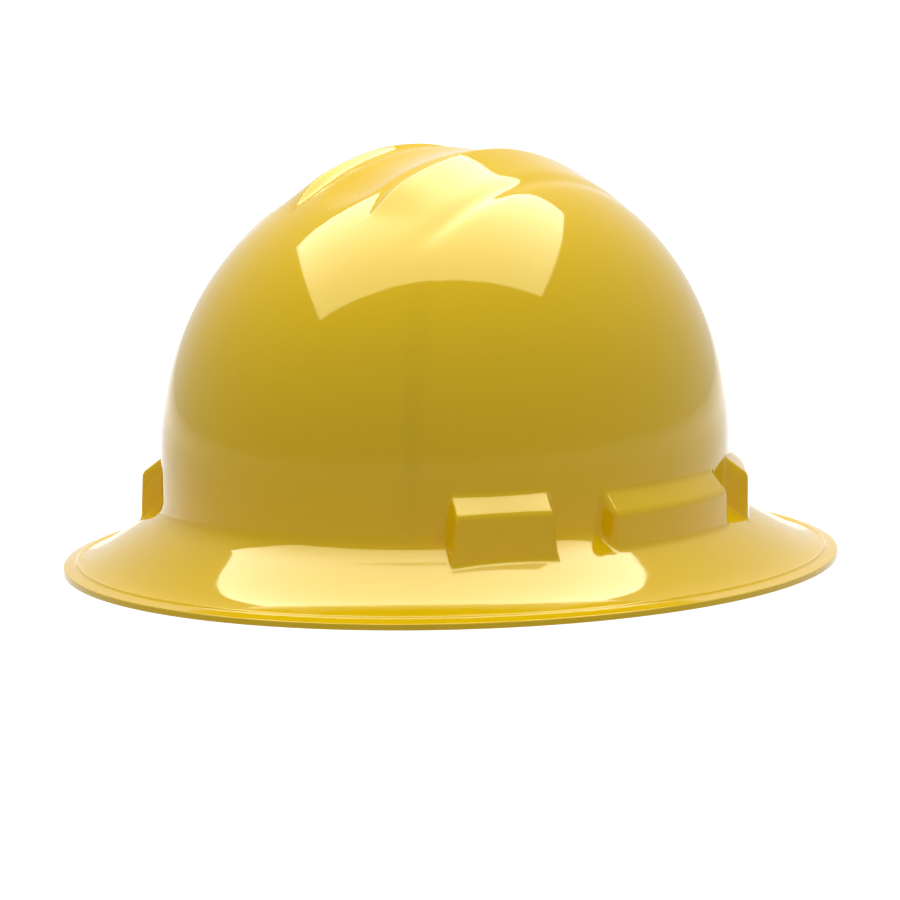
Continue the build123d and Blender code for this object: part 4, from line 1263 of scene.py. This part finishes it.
def makeFloor():
    # pale floor: white where it is seen far off, with the hat's shadow close by
    bm = bmesh.new()
    bmesh.ops.create_grid(bm, x_segments=1, y_segments=1, size=studio["floorSize"] / 2)
    material, tree, shader = startMaterial("paleFloor", 0.9)
    setInputs(tree, shader, {"Base Color": studio["floorColor"], "Specular IOR Level": 0.0})
    place = tree.nodes.new("ShaderNodeTexCoord").outputs["Object"]
    reach = addNode(tree, "ShaderNodeVectorMath", {0: place}, operation="LENGTH").outputs["Value"]
    fade = addFade(tree, reach, studio["floorFade"], studio["floorGlow"])
    glow = addNode(tree, "ShaderNodeEmission", {"Strength": fade})
    seen = addNode(tree, "ShaderNodeAddShader", {0: shader.outputs[0], 1: glow.outputs[0]})
    bounced = addNode(tree, "ShaderNodeEmission", {"Strength": studio["floorBounce"]})
    # from underneath the floor is clear, so that the inside of the hat can be looked at
    clear = tree.nodes.new("ShaderNodeBsdfTransparent")
    onPath = tree.nodes.new("ShaderNodeLightPath").outputs
    facing = tree.nodes.new("ShaderNodeNewGeometry").outputs
    surface = shader
    choices = ((onPath["Is Diffuse Ray"], bounced), (seenRays(tree), seen), (facing["Backfacing"], clear))
    for share, other in choices:
        feeds = {0: share, 1: surface.outputs[0], 2: other.outputs[0]}
        surface = addNode(tree, "ShaderNodeMixShader", feeds)
    setInputs(tree, tree.nodes["Material Output"], {"Surface": surface.outputs[0]})
    makeObject("studioFloor", bm, material)


def makeWorld():
    world = bpy.data.worlds.new("studioWorld")
    bpy.context.scene.world = world
    world.use_nodes = True
    tree = world.node_tree
    feeds = {"Factor": seenRays(tree), "A": studio["worldDiffuse"], "B": 1.0}
    strength = addNode(tree, "ShaderNodeMix", feeds, data_type="FLOAT")
    setInputs(tree, tree.nodes["Background"], {"Color": (1, 1, 1, 1), "Strength": strength.outputs[0]})


areaLight()
scrim()
makeFloor()
makeWorld()
bpy.context.scene.view_settings.view_transform = "Standard"
print("studio made")


# Finishes of the pieces that keep their own shape
finishes = {
    "key": ("front_left_key", "front_right_key", "rear_left_key", "rear_right_key"),
    "band": ("headband", "left_nape_strap", "right_nape_strap"),
    "rivet": ("left_swing_rivet", "right_swing_rivet"),
    "housing": ("ratchet_base", "ratchet_cover"),
    "acetal": ("detent_spring", "drive_pinion"),
    "knob": ("ratchet_knob",),
    "screw": ("knob_screw",),
}
for finish, nodeNames in finishes.items():
    for nodeName in nodeNames:
        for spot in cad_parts[nodeName].material_slots:
            spot.material = screwSteel if finish == "screw" else plastics[finish]
